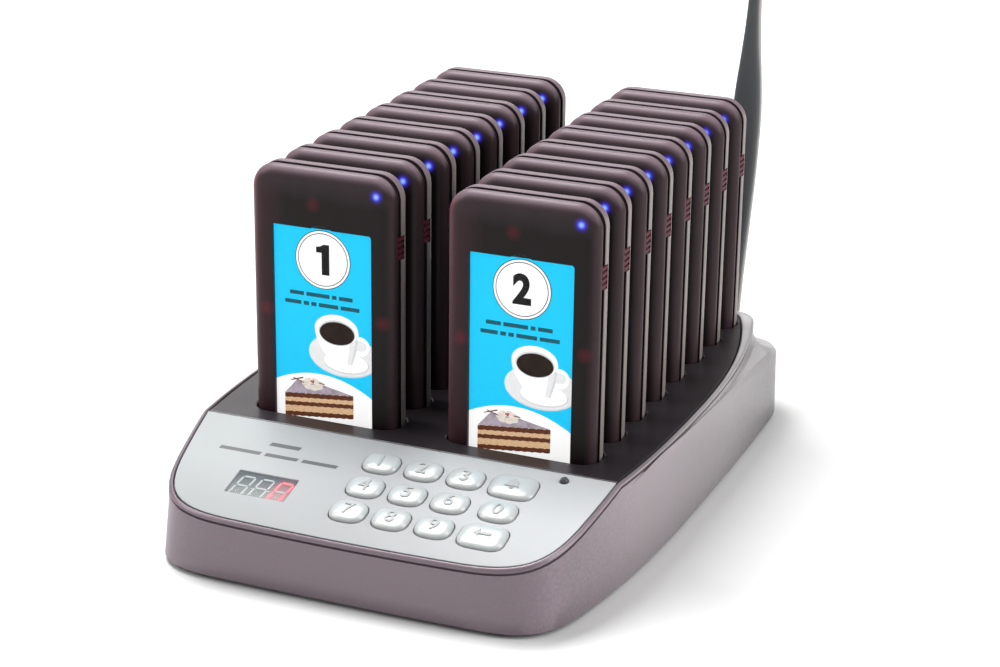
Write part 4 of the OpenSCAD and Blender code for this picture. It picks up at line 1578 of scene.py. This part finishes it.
def make_collar():
    """The elbow's knurled collar, over the CAD elbow's plain one."""
    low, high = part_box("antenna_elbow")
    start = low.y / MM
    centre = ((low.x + high.x) / 2 / MM, HINGE.z / MM)
    count = COLLAR_RIDGES * 4
    profile = [
        (0.02, 4.7, 0.0), (0.3, 5.05, 0.11), (4.2, 5.05, 0.11), (4.6, 4.8, 0.0),
        (4.6, 3.3, 0.0), (0.02, 3.3, 0.0),
    ]
    rings = []
    for y, radius, ridge in profile:
        radii = [radius + ridge * (1 if k % 4 in (1, 2) else -1) for k in range(count)]
        rings.append([
            (centre[0] + r * math.cos(a), start + y, centre[1] + r * math.sin(a))
            for r, a in zip(radii, turns(count))
        ])
    make_piece(
        "antenna_collar", *loft(rings, closed=True), [ANTENNA_BLACK], "antenna_base", "antenna",
        angle=20,
    )


# ------------------------------------------------------------------ CAD nodes that stay

NODE_MATERIALS = {
    "base_bottom_cover": COVER, "keypad_mat": DOMES, "main_board": BOARD, "board_chips": COMPONENT,
    "charging_boards": BOARD, "charging_pins": GOLD, "status_led": STATUS, "beeper": COMPONENT,
    "dc_jack": COMPONENT, "antenna_socket": GOLD, "antenna_elbow": ANTENNA_BLACK,
    "antenna_hinge_pin": STEEL, "rubber_feet": RUBBER, "case_screws": STEEL,
    "board_screws": STEEL, "pager_01_circuit_board": BOARD, "pager_01_battery": FOIL,
    "pager_01_vibration_motor": STEEL, "pager_01_buzzer": COMPONENT, "pager_01_leds": LAMP,
    "pager_01_charge_contacts": GOLD,
}


def dress_nodes():
    for name, material in NODE_MATERIALS.items():
        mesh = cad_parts[name].data
        mesh.materials.clear()
        mesh.materials.append(material)


# ------------------------------------------------------------------ floor and light

LIT_POINT = Vector((0, 0, 0.06))


def make_floor():
    """A pale floor with a painted glow that grows far away, so that it looks white all the way back.
    """
    half = 12_000
    fade = 4.0
    made = Shader("floor_white", (0.66, 0.66, 0.66), 0.6)
    made.vary_color((0.65, 0.65, 0.65), (0.67, 0.67, 0.67), 3)
    out = made.add("ShaderNodeVectorMath", {0: made.place}, operation="LENGTH")
    steps = ((0.08, 0), (0.16, 0.30), (0.25, 0.60), (0.5, 0.85))
    far = made.ramp(
        made.math("DIVIDE", out.outputs["Value"], fade),
        [(at, shade(FULL, light)) for at, light in steps],
    )
    # Painted glow on the floor: none near the base, strong far away.
    made.glow(far, 1.0)
    material = made.finish((0.55, 0.65, 12), (400, 0.01))
    corners = lift(rectangle(-half, -half, half, half), 0)
    add_object("floor", new_mesh("floor", corners, [[0, 1, 2, 3]], [material]))


def soft_light(name, place, size, power):
    data = bpy.data.lights.new(name, "AREA")
    data.shape = "RECTANGLE"
    data.size, data.size_y = size
    data.energy = power
    light = add_object(name, data)
    light.location = place
    light.rotation_euler = (LIT_POINT - Vector(place)).to_track_quat("-Z", "Y").to_euler()


def make_light():
    world = bpy.data.worlds.new("studio")
    world.use_nodes = True
    sky = world.node_tree.nodes["Background"]
    sky.inputs["Color"].default_value = (1, 1, 1, 1)
    sky.inputs["Strength"].default_value = 0.38
    scene = bpy.context.scene
    scene.world = world
    scene.view_settings.view_transform = "Standard"
    soft_light("top_box", (-0.42, 0.18, 1.18), (0.6, 0.5), 21.5)
    soft_light("glint_box", (0.62, 0.0, 1.12), (0.3, 0.3), 3)
    soft_light("right_box", (1.25, 0.05, 0.55), (0.8, 0.8), 11)
    soft_light("left_box", (-1.0, -0.55, 0.75), (0.6, 0.6), 5.5)
    soft_light("back_box", (-0.7, 1.6, 0.75), (1.4, 0.7), 4.5)
    soft_light("front_box", (-0.5, -1.5, 0.55), (1.2, 0.6), 1.4)


make_housing()
make_deck()
make_panel()
make_panel_print()
make_display()
make_keys()
make_pagers()
make_antenna()
make_collar()
dress_nodes()
make_floor()
make_light()
